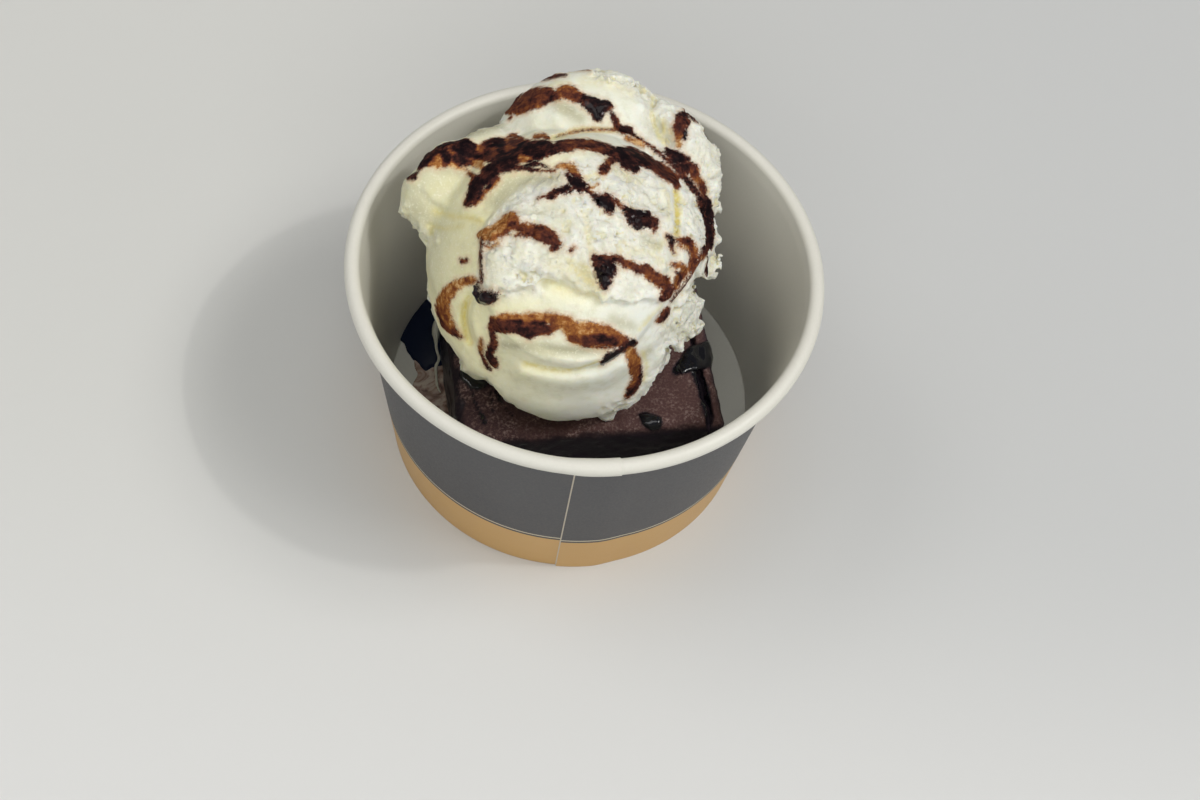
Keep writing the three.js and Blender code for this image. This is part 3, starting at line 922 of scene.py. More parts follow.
# Syrup strokes: height in mm, then points along the middle, each with its pixel, its half width in
# pixels, and its tone from 0 for thin caramel to 1.2 for thick and dark
STROKES = [
    # over the crown
    (0.1, [(541, 80, 1.4, 0.9), (548, 78, 2.2, 0.9), (556, 76, 2.2, 0.9), (566, 75, 1.6, 0.9)]),
    (0.1, [(566, 71, 1.0, 0.9), (580, 69.5, 1.0, 0.8), (590, 70.5, 0.6, 0.6)]),
    (0.3, [(507, 113, 2, 0.7), (513, 111, 4.5, 0.6), (521, 107, 7.5, 0.62), (530, 101, 10.5, 0.66),
           (540, 97, 10, 0.66), (548, 95, 7.5, 0.75), (554, 98, 4.5, 1.05), (560, 94, 6, 0.65),
           (567, 92, 7.5, 0.52), (575, 96, 6.5, 0.62), (583, 100, 5.5, 0.95)]),
    (0.9, [(586, 102, 6, 1.1), (592, 105, 8, 1.2), (599, 108, 8, 1.2), (605, 107, 6, 1.2),
           (611, 108, 2.5, 1)]),
    (0.7, [(594, 110, 7, 1.2), (598, 115, 6, 1.2), (600, 119, 3, 1.1)]),
    (0.2, [(611, 111, 2, 1.0), (614, 118, 3.5, 0.9), (617, 125, 4, 0.9), (622, 130, 4.5, 1.0),
           (629, 130, 4, 1.0),
           (634, 135, 2.4, 1.0), (642, 141, 2, 1.0), (651, 147, 2, 1.0), (660, 153.5, 2.2, 1.0)]),
    # a thin line along the crevice under the crown: syrup, and painted shade of the crevice
    (0.0, [(558, 135.5, 0.9, 0.5), (577, 131.5, 1.1, 0.6), (590, 130, 1.2, 0.6), (617, 130, 1.3, 0.7)]),
    (0.0, [(627, 138, 3, 0.3), (634, 141, 3, 0.15), (643, 146, 2, 0.1)]),
    # over the ear
    (0.1, [(421, 168, 2, 1.0), (427, 162, 5, 0.9), (435, 158, 8, 0.65), (443, 158, 10, 0.78),
           (452, 156, 11, 0.72),
           (461, 155, 12, 0.7), (470, 154, 11, 0.65), (478, 155, 9, 0.6), (486, 153, 10, 0.7),
           (494, 152, 11, 0.7),
           (503, 149, 11, 0.65), (512, 147, 10, 0.6), (521, 147, 8, 0.7), (530, 147, 7, 0.9)]),
    (0.0, [(432, 164, 3, 0.3), (438, 165, 4, 0.25), (438, 157, 3, 0.3)]),
    (0.0, [(451, 164, 3, 0.25), (452, 157, 3, 0.3), (450, 151, 2, 0.4)]),
    (0.0, [(458, 168, 2, 0.2), (466, 169, 2, 0.2)]),
    (0.0, [(471, 145, 2.5, 0.5), (476, 149, 4, 0.35), (482, 149, 2, 0.5)]),
    (0.0, [(474, 163, 4, 0.2), (480, 165, 4, 0.15), (484, 169, 3, 0.25)]),
    (0.2, [(419, 169, 2.5, 1.05), (423, 161, 4, 1.05), (428, 155, 4.5, 1.0), (435, 150, 4.5, 1.05),
           (441, 147, 4, 1.05),
           (447, 145, 4, 1.05), (453, 144, 4.5, 1.05), (461, 142.5, 4.5, 1.05), (468, 143, 4, 1.05),
           (473, 146, 2.5, 1.0)]),
    (0.1, [(443, 151, 3.5, 1.0), (447, 157, 4, 1.0), (447, 162, 2, 0.9)]),
    (0.2, [(455, 148, 3.5, 1.05), (462, 151, 4.5, 1.05), (470, 153, 4, 1.05), (477, 156, 3, 1.05),
           (481, 158, 1.5, 1.0)]),
    (0.1, [(455, 158, 3, 0.95), (462, 162, 4, 1.0), (468, 164, 3, 0.95)]),
    (0.2, [(486, 144, 4, 1.05), (493, 142, 4, 1.05), (499, 141, 3.5, 1.0), (503, 144, 3, 1.0)]),
    (0.1, [(487, 153, 3.5, 0.85), (492, 157, 4, 0.8), (493, 163, 3, 0.85)]),
    (0.1, [(500, 148, 3, 1.05), (503, 154, 3, 1.0)]),
    (0.1, [(509, 137, 2.5, 0.7), (515, 136, 3, 0.6), (521, 139, 3, 0.7)]),
    (0.1, [(513, 142, 4, 0.95), (519, 144, 4, 0.7), (524, 145, 4, 0.95)]),
    (0.0, [(536, 137, 3, 0.5), (543, 135.5, 3, 0.45), (548, 138, 2.5, 0.6)]),
    (0.3, [(523, 150, 6, 1.05), (530, 149, 8, 1.05), (538, 149, 9, 1.05), (546, 148, 7.5, 1.05),
           (554, 148, 5, 1.05)]),
    (0.1, [(408, 178, 2, 1.0), (413, 177, 3.5, 1.05), (417, 173, 2, 1.0)]),
    # the diagonal from the ear to the left flank
    (0.0, [(498, 179, 3, 0.45), (490, 187, 3.5, 0.4), (482, 195, 3.5, 0.4), (475, 203, 3, 0.5)]),
    (0.1, [(470, 174, 3, 0.6), (474, 178, 3.5, 0.7), (471, 185, 2.5, 0.8)]),
    (0.3, [(548, 150, 7, 1.05), (540, 151, 9, 1.05), (531, 153, 9, 1.05), (521, 156, 8, 1.05),
           (511, 160, 8.5, 1.05),
           (502, 164, 9, 1.05), (494, 170, 8.5, 1.05), (487, 177, 8, 1.05), (480, 184, 7.5, 1.05),
           (475, 191, 7, 1.05),
           (471, 198, 5.5, 1.0), (468, 204, 4, 0.9)]),
    (0.0, [(522, 159, 3, 0.4), (529, 161, 3, 0.3), (534, 163.5, 1.5, 0.5)]),
    (0.2, [(503, 168, 4.5, 1.05), (513, 168, 4, 1.05), (522, 168, 3, 1.0), (532, 170, 2, 1.0),
           (543, 171, 1.6, 0.9),
           (554, 171, 1.6, 0.8)]),
    (0.2, [(526, 166, 2.5, 1.05), (534, 164, 2.5, 1.05), (541, 165, 2, 1.0), (548, 168, 1.5, 0.9)]),
    # along the dome's upper edge
    (0.1, [(552, 149, 6, 1.05), (560, 147, 6, 0.85), (570, 145, 6, 0.78), (580, 144.5, 6, 0.75),
           (590, 145, 6, 0.78), (600, 148, 6, 0.75), (607, 150, 6, 0.9), (613, 153, 6, 1.0)]),
    (0.2, [(616, 154, 6.5, 1.05), (623, 155, 8.5, 1.05), (631, 157, 10, 1.05), (640, 159, 7.5, 1.05),
           (650, 163.5, 6.5, 0.95), (660, 169.5, 7, 0.85), (668, 175, 7, 0.8), (674, 180, 6, 0.85),
           (677, 186, 3.5, 0.85)]),
    (0.2, [(625, 164, 5, 1.05), (632, 167, 6, 1.05), (637, 169, 3, 1.0)]),
    (0.3, [(614, 158, 4.5, 0.8), (608, 164, 4.8, 0.75), (603.5, 170, 5, 0.8)]),
    # across the top
    (0.3, [(556, 168, 1.5, 0.5), (563, 166, 3, 0.3), (571, 168, 5, 0.25), (577, 173, 3.5, 0.4)]),
    (0.5, [(568, 174, 3.4, 1.0), (575, 180, 6, 1.1), (582, 185, 6.5, 1.1), (588, 187, 4, 1.0),
           (594, 191, 2.5, 0.9)]),
    (0.4, [(538, 199, 1, 0.8), (545, 196, 2, 0.9), (552, 195, 4, 0.95), (558, 190, 3, 1.0),
           (566, 189, 4, 1.1),
           (573, 187, 3, 1.0)]),
    (0.8, [(594, 193, 3.5, 1.1), (600, 197, 6.5, 1.2), (606, 201, 8, 1.2), (609, 207, 6, 1.1),
           (611, 211, 3, 1.0)]),
    (0.4, [(609, 196, 3, 1.0), (615, 201, 3, 0.8), (622, 207, 2.8, 0.7), (628, 212, 5, 1.0)]),
    (0.9, [(630, 214, 6, 1.1), (635, 219, 9.5, 1.2), (642, 220, 9, 1.2), (647, 217, 5, 1.0)]),
    (0.2, [(648, 222, 7, 1.0), (654, 222, 5, 0.85), (655, 228, 3, 0.85), (653, 233, 1, 0.9)]),
    (0.1, [(592, 184, 1.8, 0.3), (598, 181, 1.5, 0.35)]),
    # in the crease between the dome and the right cheek
    (0.4, [(660, 154, 1.6, 0.9), (667, 160, 2.8, 1.05), (674, 166, 3.2, 1.05), (680, 173, 3.8, 1.05),
           (687, 181, 3.2, 1.05), (694, 190, 3.6, 1.05), (700, 199, 3.6, 1.05), (704.5, 210, 4, 1.05),
           (706, 221, 4.6, 1.05),
           (706, 232, 4.6, 1.05), (705.5, 243, 4.2, 1.05), (702, 252, 2.6, 1.0), (698, 260, 1.8, 0.9),
           (693, 269, 1.6, 0.9), (687, 279, 1.4, 0.9), (679, 290, 1.4, 0.9), (670, 301, 1.4, 0.9)]),
    (0.5, [(667, 151, 3.5, 1.05), (672, 156, 6, 1.05), (679, 159, 7, 1.05), (685, 160, 5, 1.0)]),
    (0.3, [(680, 166, 5.5, 1.0), (687, 168, 6.5, 0.9), (693, 168, 5, 0.75), (694, 174, 5, 0.8),
           (697, 180, 4, 0.4),
           (702, 187, 5, 0.8), (703, 195, 3.5, 0.7), (706, 204, 5, 1.05), (708, 214, 5.5, 1.05),
           (709, 225, 5.5, 1.05), (709, 236, 5.5, 1.05), (708, 245, 5, 1.0), (704, 253, 4, 0.8),
           (701, 258, 3, 0.4)]),
    (0.2, [(698, 200, 2.5, 1.05), (702, 209, 3.6, 1.05), (705, 219, 3.8, 1.05), (706, 230, 3.5, 1.05),
           (705, 242, 3, 1.05)]),
    # on the cheek
    (0.2, [(680, 114, 2.5, 0.5), (686, 113, 2.5, 0.6), (691, 117, 2.2, 1.0), (697, 123, 1, 1.0)]),
    (0.5, [(677, 117, 2, 0.8), (682, 119, 5, 0.9), (685, 122, 5, 0.9), (683, 128, 4, 1.0),
           (684, 135, 4, 1.2),
           (683, 139, 2, 1.1)]),
    (0.1, [(682, 117, 6, 1.0), (679, 125, 6, 0.95), (678, 133, 4.5, 0.65), (678, 140, 3.5, 0.3),
           (679, 145, 3, 0.2)]),
    # short arcs on the torn fold
    (0.4, [(481, 236, 3, 0.4), (485, 235, 7, 0.25), (491, 234, 8, 0.2), (498, 231, 8, 0.2),
           (504, 227, 9, 0.3), (509, 222, 8.5, 0.35), (513, 218, 6, 0.45), (516, 223, 4, 0.5)]),
    (0.0, [(490, 242, 2, 0.5), (500, 237, 2.2, 0.55), (509, 232, 2, 0.6)]),
    (0.1, [(484, 245, 2.5, 0.45), (490, 247, 2, 0.3), (498, 243, 2.5, 0.2)]),
    (0.4, [(515, 227, 4.5, 0.75), (521, 228, 5.5, 0.7), (528, 230, 6.5, 0.7), (536, 232, 7.5, 0.7),
           (543, 234, 8.5, 0.75), (550, 238, 8.5, 0.8), (555, 243, 6.5, 0.85), (553, 248, 4, 0.95)]),
    (0.1, [(515, 236, 1.8, 0.8), (520, 234, 2.5, 0.7), (525, 236, 1.8, 0.7)]),
    (0.1, [(571, 250, 2.5, 0.8), (574, 248, 1.5, 0.8)]),
    (0.4, [(667, 236, 2.5, 1.1), (671, 239, 3.5, 1.1), (671, 246, 3, 1.1), (674, 253, 1.5, 1.0)]),
    (0.1, [(678, 240, 2.5, 0.6), (684, 241, 5, 0.75), (689, 244, 6, 0.75), (693, 251, 5.5, 0.7),
           (694, 260, 4.5, 0.7),
           (690, 269, 3.5, 0.8)]),
    (0.0, [(679, 246, 2, 0.3), (686, 248, 2.5, 0.3)]),
    (0.0, [(673, 264, 2.5, 0.5), (680, 266, 4, 0.4), (685, 271, 4, 0.5), (679, 277, 4.5, 0.35),
           (676, 285, 3.5, 0.5),
           (670, 294, 2, 0.7)]),
    (0.0, [(676, 271, 1.2, 0.9), (681, 276, 1.2, 0.9), (678, 284, 1.0, 0.9)]),
    (0.3, [(594, 255, 2, 0.6), (597, 260, 4.5, 0.8), (608, 261, 5, 0.85), (618, 260, 4.2, 0.6),
           (626, 264, 4.2, 0.6), (634, 267, 4.8, 0.75), (641, 269, 6, 0.8), (646, 270, 6, 0.75),
           (652, 275, 6.5, 0.6), (660, 281, 7, 0.6), (666, 284, 7, 0.7), (667, 291, 6, 0.9),
           (662, 299, 3.5, 0.9)]),
    (0.2, [(596, 259, 4.5, 0.85), (604, 260, 6, 0.85), (612, 266, 5, 0.9), (613, 272, 4, 0.95)]),
    (1.0, [(600, 265, 7, 1.1), (604, 271, 9.5, 1.15), (604, 279, 8, 1.2), (604, 287, 4, 1.1)]),
    # left flank
    (0.1, [(462, 261, 2.8, 0.7), (466, 260.5, 2.8, 0.7)]),
    (0.0, [(481, 240, 1.8, 0.8), (481, 250, 1.7, 0.9), (480.5, 260, 1.8, 1.0), (481, 271, 1.8, 1.0),
           (482, 281, 1.8, 1.0)]),
    (0.3, [(480, 283, 2, 0.7), (474, 281, 4, 0.4), (466, 281, 4.5, 0.3), (458, 284, 5.5, 0.25),
           (452, 289, 6.5, 0.25), (446, 296, 7, 0.36), (443, 304, 7.5, 0.38), (444, 313, 7.5, 0.42),
           (447, 322, 6.5, 0.45), (452, 329, 5, 0.5), (458, 334, 3, 0.65), (462, 337, 1, 0.8)]),
    (0.1, [(436, 305, 1.2, 0.7), (440, 318, 1.5, 0.8), (448, 329, 2, 0.8), (460, 338, 1.2, 0.9)]),
    (1.7, [(479, 287, 2.5, 1.2), (481, 294, 4.5, 1.2), (486, 297, 7, 1.2), (491, 296, 7, 1.2),
           (495, 291, 2.5, 1.2)]),
    # long arc at the front
    (0.2, [(494, 320, 4.5, 0.4), (504, 319.5, 6, 0.36), (516, 319.5, 6.5, 0.34), (528, 320, 7, 0.32),
           (540, 319.5, 7, 0.32), (550, 318.5, 6.5, 0.3), (558, 320, 6.5, 0.3), (566, 322, 6.5, 0.28)]),
    (0.3, [(492, 328, 4.5, 0.8), (496, 325, 6, 0.75), (504, 326.5, 6.8, 0.85), (512, 326.5, 6.2, 0.95),
           (520, 327.5, 6.6, 0.9), (528, 331, 7.8, 0.98), (536, 329.5, 7.2, 0.95), (544, 329, 6.8, 0.95),
           (550, 329, 5.3, 0.75), (556, 325, 5, 0.45), (562, 326, 4, 0.3)]),
    (0.4, [(493, 333, 4, 0.85), (494, 341, 4.5, 0.85), (492, 348, 5.5, 0.9), (490, 355, 5, 0.95),
           (494, 361, 4.5, 0.95), (497, 367, 1.5, 0.9)]),
    (0.2, [(481, 340, 2.5, 0.35), (481, 346, 3, 0.5), (482, 353, 2, 0.8), (485, 361, 2.2, 1.0),
           (488, 367, 2.5, 1.1), (491, 370, 1, 1.0)]),
    (0.4, [(563, 324, 5, 0.3), (570, 328, 8, 0.28), (578, 333, 12, 0.26), (588, 334, 13, 0.28),
           (598, 334, 12, 0.35), (607, 336, 10.5, 0.45), (615, 339, 9, 0.5), (622, 341, 7, 0.5),
           (628, 342, 3, 0.5)]),
    (0.2, [(572, 338, 2.5, 0.6), (584, 339, 3.5, 0.7), (597, 338, 4, 0.85), (608, 340, 4, 0.85),
           (617, 345, 3, 0.7)]),
    (0.0, [(585, 346, 1.5, 0.7), (600, 347, 2, 0.75), (614, 348, 1.5, 0.8)]),
    (0.4, [(602, 362, 2.5, 1.2), (608, 357, 4.2, 1.2), (616, 352, 4.4, 1.15), (624, 347, 3.8, 1.1),
           (631, 343, 4, 1.1), (635, 342, 2.5, 1.05)]),
    (0.2, [(630, 351, 5, 0.3), (633, 357, 7, 0.35), (635, 366, 7, 0.45), (636, 375, 6, 0.55),
           (634, 383, 5, 0.65), (631, 390, 5, 0.75), (627, 396, 3.5, 0.8)]),
    (0.1, [(641, 366, 1.2, 0.9), (641, 375, 1.8, 1.0), (638, 384, 2.2, 1.0), (633, 392, 2.5, 1.0),
           (626, 398, 2, 0.9)]),
    (0.3, [(667, 309, 3, 0.85), (664, 314, 4.5, 0.85), (660, 319, 4, 0.85), (656, 321, 1.5, 0.8)]),
]
# Strokes on the sides that the photograph doesn't show: height in mm, then points with bearing and
# height in degrees seen from the dome, half width in mm and tone
HIDDEN_STROKES = [
    (0.5, [(174, -10, 0.8, 0.9), (179, -18, 1.4, 1.1), (176, -28, 1.3, 1.2), (180, -38, 1.5, 1.2)]),
    (0.5, [(120, 22, 0.8, 0.7), (108, 12, 1.8, 0.8), (94, 15, 2.2, 0.9), (80, 8, 1.4, 0.8),
           (76, -4, 0.8, 0.9)]),
    (0.5, [(60, 18, 1.0, 0.8), (50, 8, 1.6, 1.0), (46, -6, 1.4, 1.1), (47, -18, 1.0, 1.0)]),
    (0.3, [(158, 10, 1.0, 0.6), (150, 0, 1.8, 0.5), (143, -10, 1.2, 0.7)]),
    (0.4, [(14, 16, 1.0, 0.8), (5, 6, 1.7, 0.9), (6, -8, 1.2, 1.0)]),
    (0.3, [(100, -6, 0.8, 0.7), (112, -14, 1.6, 0.5), (124, -16, 1.0, 0.7)]),
]


def spread(points, spacing):
    """Points evenly along a smooth curve through the given ones."""
    points = np.asarray(points, float)
    padded = np.vstack([2 * points[0] - points[1], points, 2 * points[-1] - points[-2]])
    result = []
    for a, b, c, d in zip(padded[:-3], padded[1:-2], padded[2:-1], padded[3:]):
        count = max(2, int(np.linalg.norm(c - b) / spacing))
        for t in np.arange(count) / count:
            result.append(0.5 * (
                2 * b + (c - a) * t + (2 * a - 5 * b + 4 * c - d) * t * t
                + (3 * b - a - 3 * c + d) * t ** 3
            ))
    result.append(points[-1])
    return np.array(result)


def cast(grid, starts, rays, reach):
    """Where rays first meet the grid's surface. Rays that miss it give nan."""
    stride = 0.35
    places = starts.copy()
    done = np.zeros(len(rays), bool)
    for _ in range(int(reach / stride)):
        value = grid.sample(places)
        done |= value < 0.1
        places[~done] += rays[~done] * np.clip(value[~done] * 0.7, stride, 4.0)[:, None]
        if done.all():
            break
    places[~done] = np.nan
    return places


class Syrup:
    """What the syrup does at each vertex: mm inside its edge, tone, and how far it lifts the surface."""

    def __init__(self, vertices):
        self.inside = np.full(len(vertices), -3.0)
        self.tone = np.zeros(len(vertices))
        self.rise = np.zeros(len(vertices))
        self.wander = 0.3 * noise(vertices, 1.3, 21) + 0.2 * noise(vertices, 0.6, 22)

    def add(self, chosen, inside, half, tone, height):
        """Lays a stroke over those before it."""
        inside = inside + self.wander[chosen] * np.minimum(1.0, half)
        cover = smoothstep(-0.4, 0.15, inside)
        self.tone[chosen] += cover * (tone - self.tone[chosen])
        self.inside[chosen] = np.maximum(self.inside[chosen], inside)
        lift = height * np.sqrt(np.clip(inside / half, 0.0, 1.0))
        self.rise[chosen] = np.maximum(self.rise[chosen], lift)


def nearest_on_stroke(places, path, halves):
    """Depth inside the stroke, and which point of its path is nearest."""
    inside = np.full(len(places), -99.0)
    nearest = np.zeros(len(places), int)
    for number, (point, half) in enumerate(zip(path, halves)):
        depth = half - np.linalg.norm(places - point, axis=1)
        better = depth > inside
        inside[better] = depth[better]
        nearest[better] = number
    return inside, nearest


def along(values):
    """Fills the gaps in values along a stroke from their neighbours."""
    order = np.arange(len(values))
    known = ~np.isnan(values)
    return np.interp(order, order[known], values[known])


def add_photo_stroke(syrup, grid, seen, height, stroke):
    """A stroke drawn in the photograph's pixels, laid on the surface that the camera sees there."""
    points = spread(stroke, 1.6)
    rays = photo_rays(points[:, :2])
    hits = cast(grid, CAMERA_AT + rays * RAYS_FROM, rays, RAYS_REACH)
    depths = (hits - CAMERA_AT) @ CAMERA_FORWARD
    if np.isnan(depths).all():
        return
    reach = points[:, 2].max() + 8.0
    x, y, depth, facing = seen
    near = (x > points[:, 0].min() - reach) & (x < points[:, 0].max() + reach)
    near &= (y > points[:, 1].min() - reach) & (y < points[:, 1].max() + reach)
    chosen = np.flatnonzero(near)
    places = np.stack([x[chosen], y[chosen]], 1)
    inside, nearest = nearest_on_stroke(places, points[:, :2], points[:, 2])
    gap = np.abs(depth[chosen] - along(depths)[nearest])
    too_deep = np.maximum(gap - STROKE_DEPTH - 0.6 * points[nearest, 2], 0.0)
    inside = inside / PIXELS_PER_MM + 0.1 - 0.6 * too_deep
    inside = np.where(inside < 0.0, inside / facing[chosen], inside)
    syrup.add(chosen, inside, points[nearest, 2] / PIXELS_PER_MM, points[nearest, 3], height)


def add_hidden_stroke(syrup, grid, vertices, height, stroke):
    """A stroke given by directions seen from the dome's centre."""
    points = spread(stroke, 2.0)
    bearing, up = np.radians(points[:, 0]), np.radians(points[:, 1])
    out = np.stack([np.cos(up) * np.cos(bearing), np.cos(up) * np.sin(bearing), np.sin(up)], 1)
    path = cast(grid, np.array(DOME_CENTRE) + out * 48.0, -out, 60.0)
    found = ~np.isnan(path[:, 0])
    path, points = path[found], points[found]
    low, high = path.min(0) - 4.0, path.max(0) + 4.0
    chosen = np.flatnonzero(np.all((vertices > low) & (vertices < high), axis=1))
    inside, nearest = nearest_on_stroke(vertices[chosen], path, points[:, 2])
    syrup.add(chosen, inside, points[nearest, 2], points[nearest, 3], height)


def syrup_on(grid, vertices, normals):
    syrup = Syrup(vertices)
    x, y, depth = to_photo(vertices)
    hidden = normals @ CAMERA_FORWARD > 0.2
    seen = (np.where(hidden, -99.0, x), y, depth, slant(normals))
    for height, stroke in STROKES:
        add_photo_stroke(syrup, grid, seen, height, stroke)
    for height, stroke in HIDDEN_STROKES:
        add_hidden_stroke(syrup, grid, vertices, height, stroke)
    return syrup


# Brownie


def brownie_frame(points):
    """Points in the brownie's own axes: across, deep and up."""
    x = points[..., 0] - BROWNIE_CENTRE[0]
    y = points[..., 1] - BROWNIE_CENTRE[1]
    cos, sin = math.cos(BROWNIE_TURN), math.sin(BROWNIE_TURN)
    return np.stack([x * cos + y * sin, y * cos - x * sin, points[..., 2]], -1)


# Syrup puddles on the brownie, as outlines in the photograph's pixels, and their thickness in mm
PUDDLES = [
    ([(677, 367), (680, 360), (684, 352), (689, 347), (700, 343), (709, 341), (712, 348), (714, 358),
      (712, 366), (707, 369), (699, 370), (690, 371), (685, 374), (680, 373)], 0.9),
    ([(638, 414), (645, 412), (655, 414), (661, 417), (663, 423), (660, 430), (650, 430), (643, 426)], 0.8),
    ([(459, 372), (464, 368), (478, 372), (487, 376), (489, 382), (484, 388), (477, 390), (470, 389),
      (466, 384), (460, 380)], 0.8),
]


def puddle_distance(points, block):
    """Distance to the syrup puddles, which lie on the block."""
    distance = np.full(points.shape[:-1], 9.0)
    close = (block < 3.0) & (points[..., 2] > BROWNIE_TOP - 4.5)
    x, y, _ = to_photo(points[close])
    for outline, thickness in PUDDLES:
        flat = outline_distance(x, y, outline) / PIXELS_PER_MM + 0.2 * noise(points[close], 2.0, 39)
        layer = rounded_layer(flat, block[close] - thickness, 0.7)
        distance[close] = np.minimum(distance[close], layer)
    return distance


def brownie_distance(points):
    """Distances to the block with its crumb and crack, and to the block without the crack."""
    local = brownie_frame(points)
    coarse = noise(points, 6.0, 31)
    crumb = noise(points, 1.6, 32)
    fine = noise(points, 0.8, 33)
    relief = 0.25 * coarse + 0.22 * crumb + 0.12 * fine
    across, deep, up = local[..., 0], local[..., 1], local[..., 2]
    strip = smoothstep(CRACK_AT - 0.2, CRACK_AT + 0.5, across)
    top = BROWNIE_TOP - 0.35 - strip * (0.55 + 0.1 * (across - CRACK_AT))
    bottom = FLOOR_TOP + 0.1
    middle, half_height = (top + bottom) / 2, (top - bottom) / 2
    waist = 0.35 * noise(points, 9.0, 34)
    gap = np.stack([
        np.abs(across) - (BROWNIE_HALF[0] - 0.25 + waist - BROWNIE_ROUNDING),
        np.abs(deep) - (BROWNIE_HALF[1] - 0.25 + waist - BROWNIE_ROUNDING),
        np.abs(up - middle) - (half_height - BROWNIE_ROUNDING),
    ], -1)
    outside = np.linalg.norm(np.maximum(gap, 0.0), axis=-1)
    block = outside + np.minimum(gap.max(-1), 0.0) - BROWNIE_ROUNDING - relief
    wander = 0.8 * noise(points, 5.0, 35) + 0.3 * noise(points, 1.5, 36)
    side = np.abs(across - CRACK_AT - 0.3 + wander) - CRACK_WIDTH / 2 * smoothstep(-3.4, -0.6, up - top)
    crack = np.maximum(side, top - CRACK_DEPTH - up)
    return np.maximum(block, -crack), block


def crumb_color(tree, grain):
    """Dark crumb, with a paler speckled crust on top that is darker at the left."""
    crust = attribute(tree, "crust")
    patches = noise_texture(tree, 5.0, 4.0, 0.6)
    crumb = mix_color(tree, patches, linear(58, 48, 58), linear(78, 64, 70))
    dry = mix_color(tree, remap(tree, patches, 0.3, 0.7), linear(112, 86, 81), linear(156, 132, 126))
    uneven = remap(tree, patches, 0.3, 0.65, 0.3, 1.0)
    speckle = math_node(tree, "MULTIPLY", remap(tree, grain, 0.46, 0.64), uneven)
    base = mix_color(tree, crust, crumb, mix_color(tree, patches, linear(80, 56, 56), linear(102, 76, 73)))
    x, _, _ = object_axes(tree)
    base = mix_color(tree, remap(tree, x, -0.022, 0.006, 0.75, 0.0), base, linear(62, 46, 50))
    return mix_color(tree, math_node(tree, "MULTIPLY", crust, speckle), base, dry)


def brownie_material():
    """Crumb, darker and shinier where syrup has run over it, and shiniest on the drops; the syrup's dark
    colour holds a painted bluish reflection.
    """
    material, tree, shader = new_material("brownie_crumb", 0.6)
    wet = attribute(tree, "wet")
    grain = noise_texture(tree, 0.6, 4.0, 0.7)
    # dark syrup colour, with a painted bluish reflection in it
    base = mix_color(tree, wet, crumb_color(tree, grain), linear(24, 22, 31))
    drops = remap(tree, wet, 0.9, 1.0)
    base = mix_color(tree, drops, base, linear(13, 13, 20))
    tree.links.new(base, shader.inputs["Base Color"])
    tree.links.new(drops, shader.inputs["Coat Weight"])
    shader.inputs["Coat Roughness"].default_value = 0.06
    shader.inputs["Coat IOR"].default_value = 1.45
    tree.links.new(remap(tree, wet, 0.6, 1.0, 0.6, 0.16), shader.inputs["Roughness"])
    shader.inputs["Specular IOR Level"].default_value = 0.12
    height = math_node(tree, "MULTIPLY", grain, remap(tree, wet, 0.0, 1.0, 1.0, 0.05))
    bump(tree, shader, height, 1.0, 0.4)
    return material


def build_brownie():
    step = 0.5
    grid = Grid((-34.0, -33.0, FLOOR_TOP - 1.0), (35.0, 31.0, BROWNIE_TOP + 2.0), step)
    points = grid.points()
    cracked, block = brownie_distance(points)
    puddles = puddle_distance(points, block)
    grid.field = join(cracked, puddles, 0.3).astype(np.float32)
    vertices, faces = surface_net(grid)
    piece = make_mesh("brownie_block", vertices, faces, brownie_material())
    under_syrup = smoothstep(0.3, 0.0, grid.like(puddles).sample(vertices))
    on_top = smoothstep(BROWNIE_TOP - 2.6, BROWNIE_TOP - 1.2, vertices[:, 2])
    set_values(piece, "wet", np.maximum(under_syrup, wet_runs(vertices, brownie_frame(vertices))))
    set_values(piece, "crust", on_top)
    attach(piece, "root")
    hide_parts("brownie")


WET_MARKS = [  # pixels of the photograph along syrup that has run over the brownie, and its width in mm
    ([(472, 389), (474, 400), (480, 412), (485, 422)], 0.45),
    ([(490, 386), (491, 398), (493, 412)], 0.4),
    ([(496, 392), (502, 404), (512, 416)], 0.3),
    ([(694, 371), (699, 385), (704, 404), (708, 422)], 0.9),
    ([(701, 371), (707, 390), (712, 415)], 0.35),
    ([(680, 362), (676, 371)], 1.0),
]


def wet_runs(vertices, local):
    """1 where syrup has run over the brownie: down its left side and along the marks on top; 0.75 on the
    front face, which is made dark and glossy.
    """
    x, y, _ = to_photo(vertices)
    ragged = 0.8 * noise(vertices, 2.5, 37) + 0.4 * noise(vertices, 1.0, 38)
    wet = 0.85 * smoothstep(-25.4, -26.4, local[:, 0] + ragged)
    # the front face made dark and glossy, at 0.75
    front = 0.75 * smoothstep(-22.6, -23.3, local[:, 1] + 0.4 * ragged)
    wet = np.maximum(wet, front)
    on_top = smoothstep(BROWNIE_TOP - 4.0, BROWNIE_TOP - 2.5, vertices[:, 2])
    for path, width in WET_MARKS:
        near = path_distance(x, y, path) / PIXELS_PER_MM + 0.4 * ragged
        wet = np.maximum(wet, on_top * smoothstep(width, 0.4 * width, near))
    return wet


# Paper cup
SEAM = (-86.9, -86.65)          # degrees, at the foot, over which the outer layer of paper begins
SEAM_LEAN = 0.9                 # degrees that it moves round by the top
FLOOR_COLUMNS = 160
OVERLAP_END = (-75.6, -75.4)    # degrees over which the inner layer ends
PRINT_SHIFT = 0.22              # mm by which the print is out of step at the seam


def outside_radius(height):
    top = ROLL_CENTRE[0] - ROLL_RADIUS + BOARD
    return FOOT_RADIUS + (top - FOOT_RADIUS) * height / ROLL_CENTRE[1]


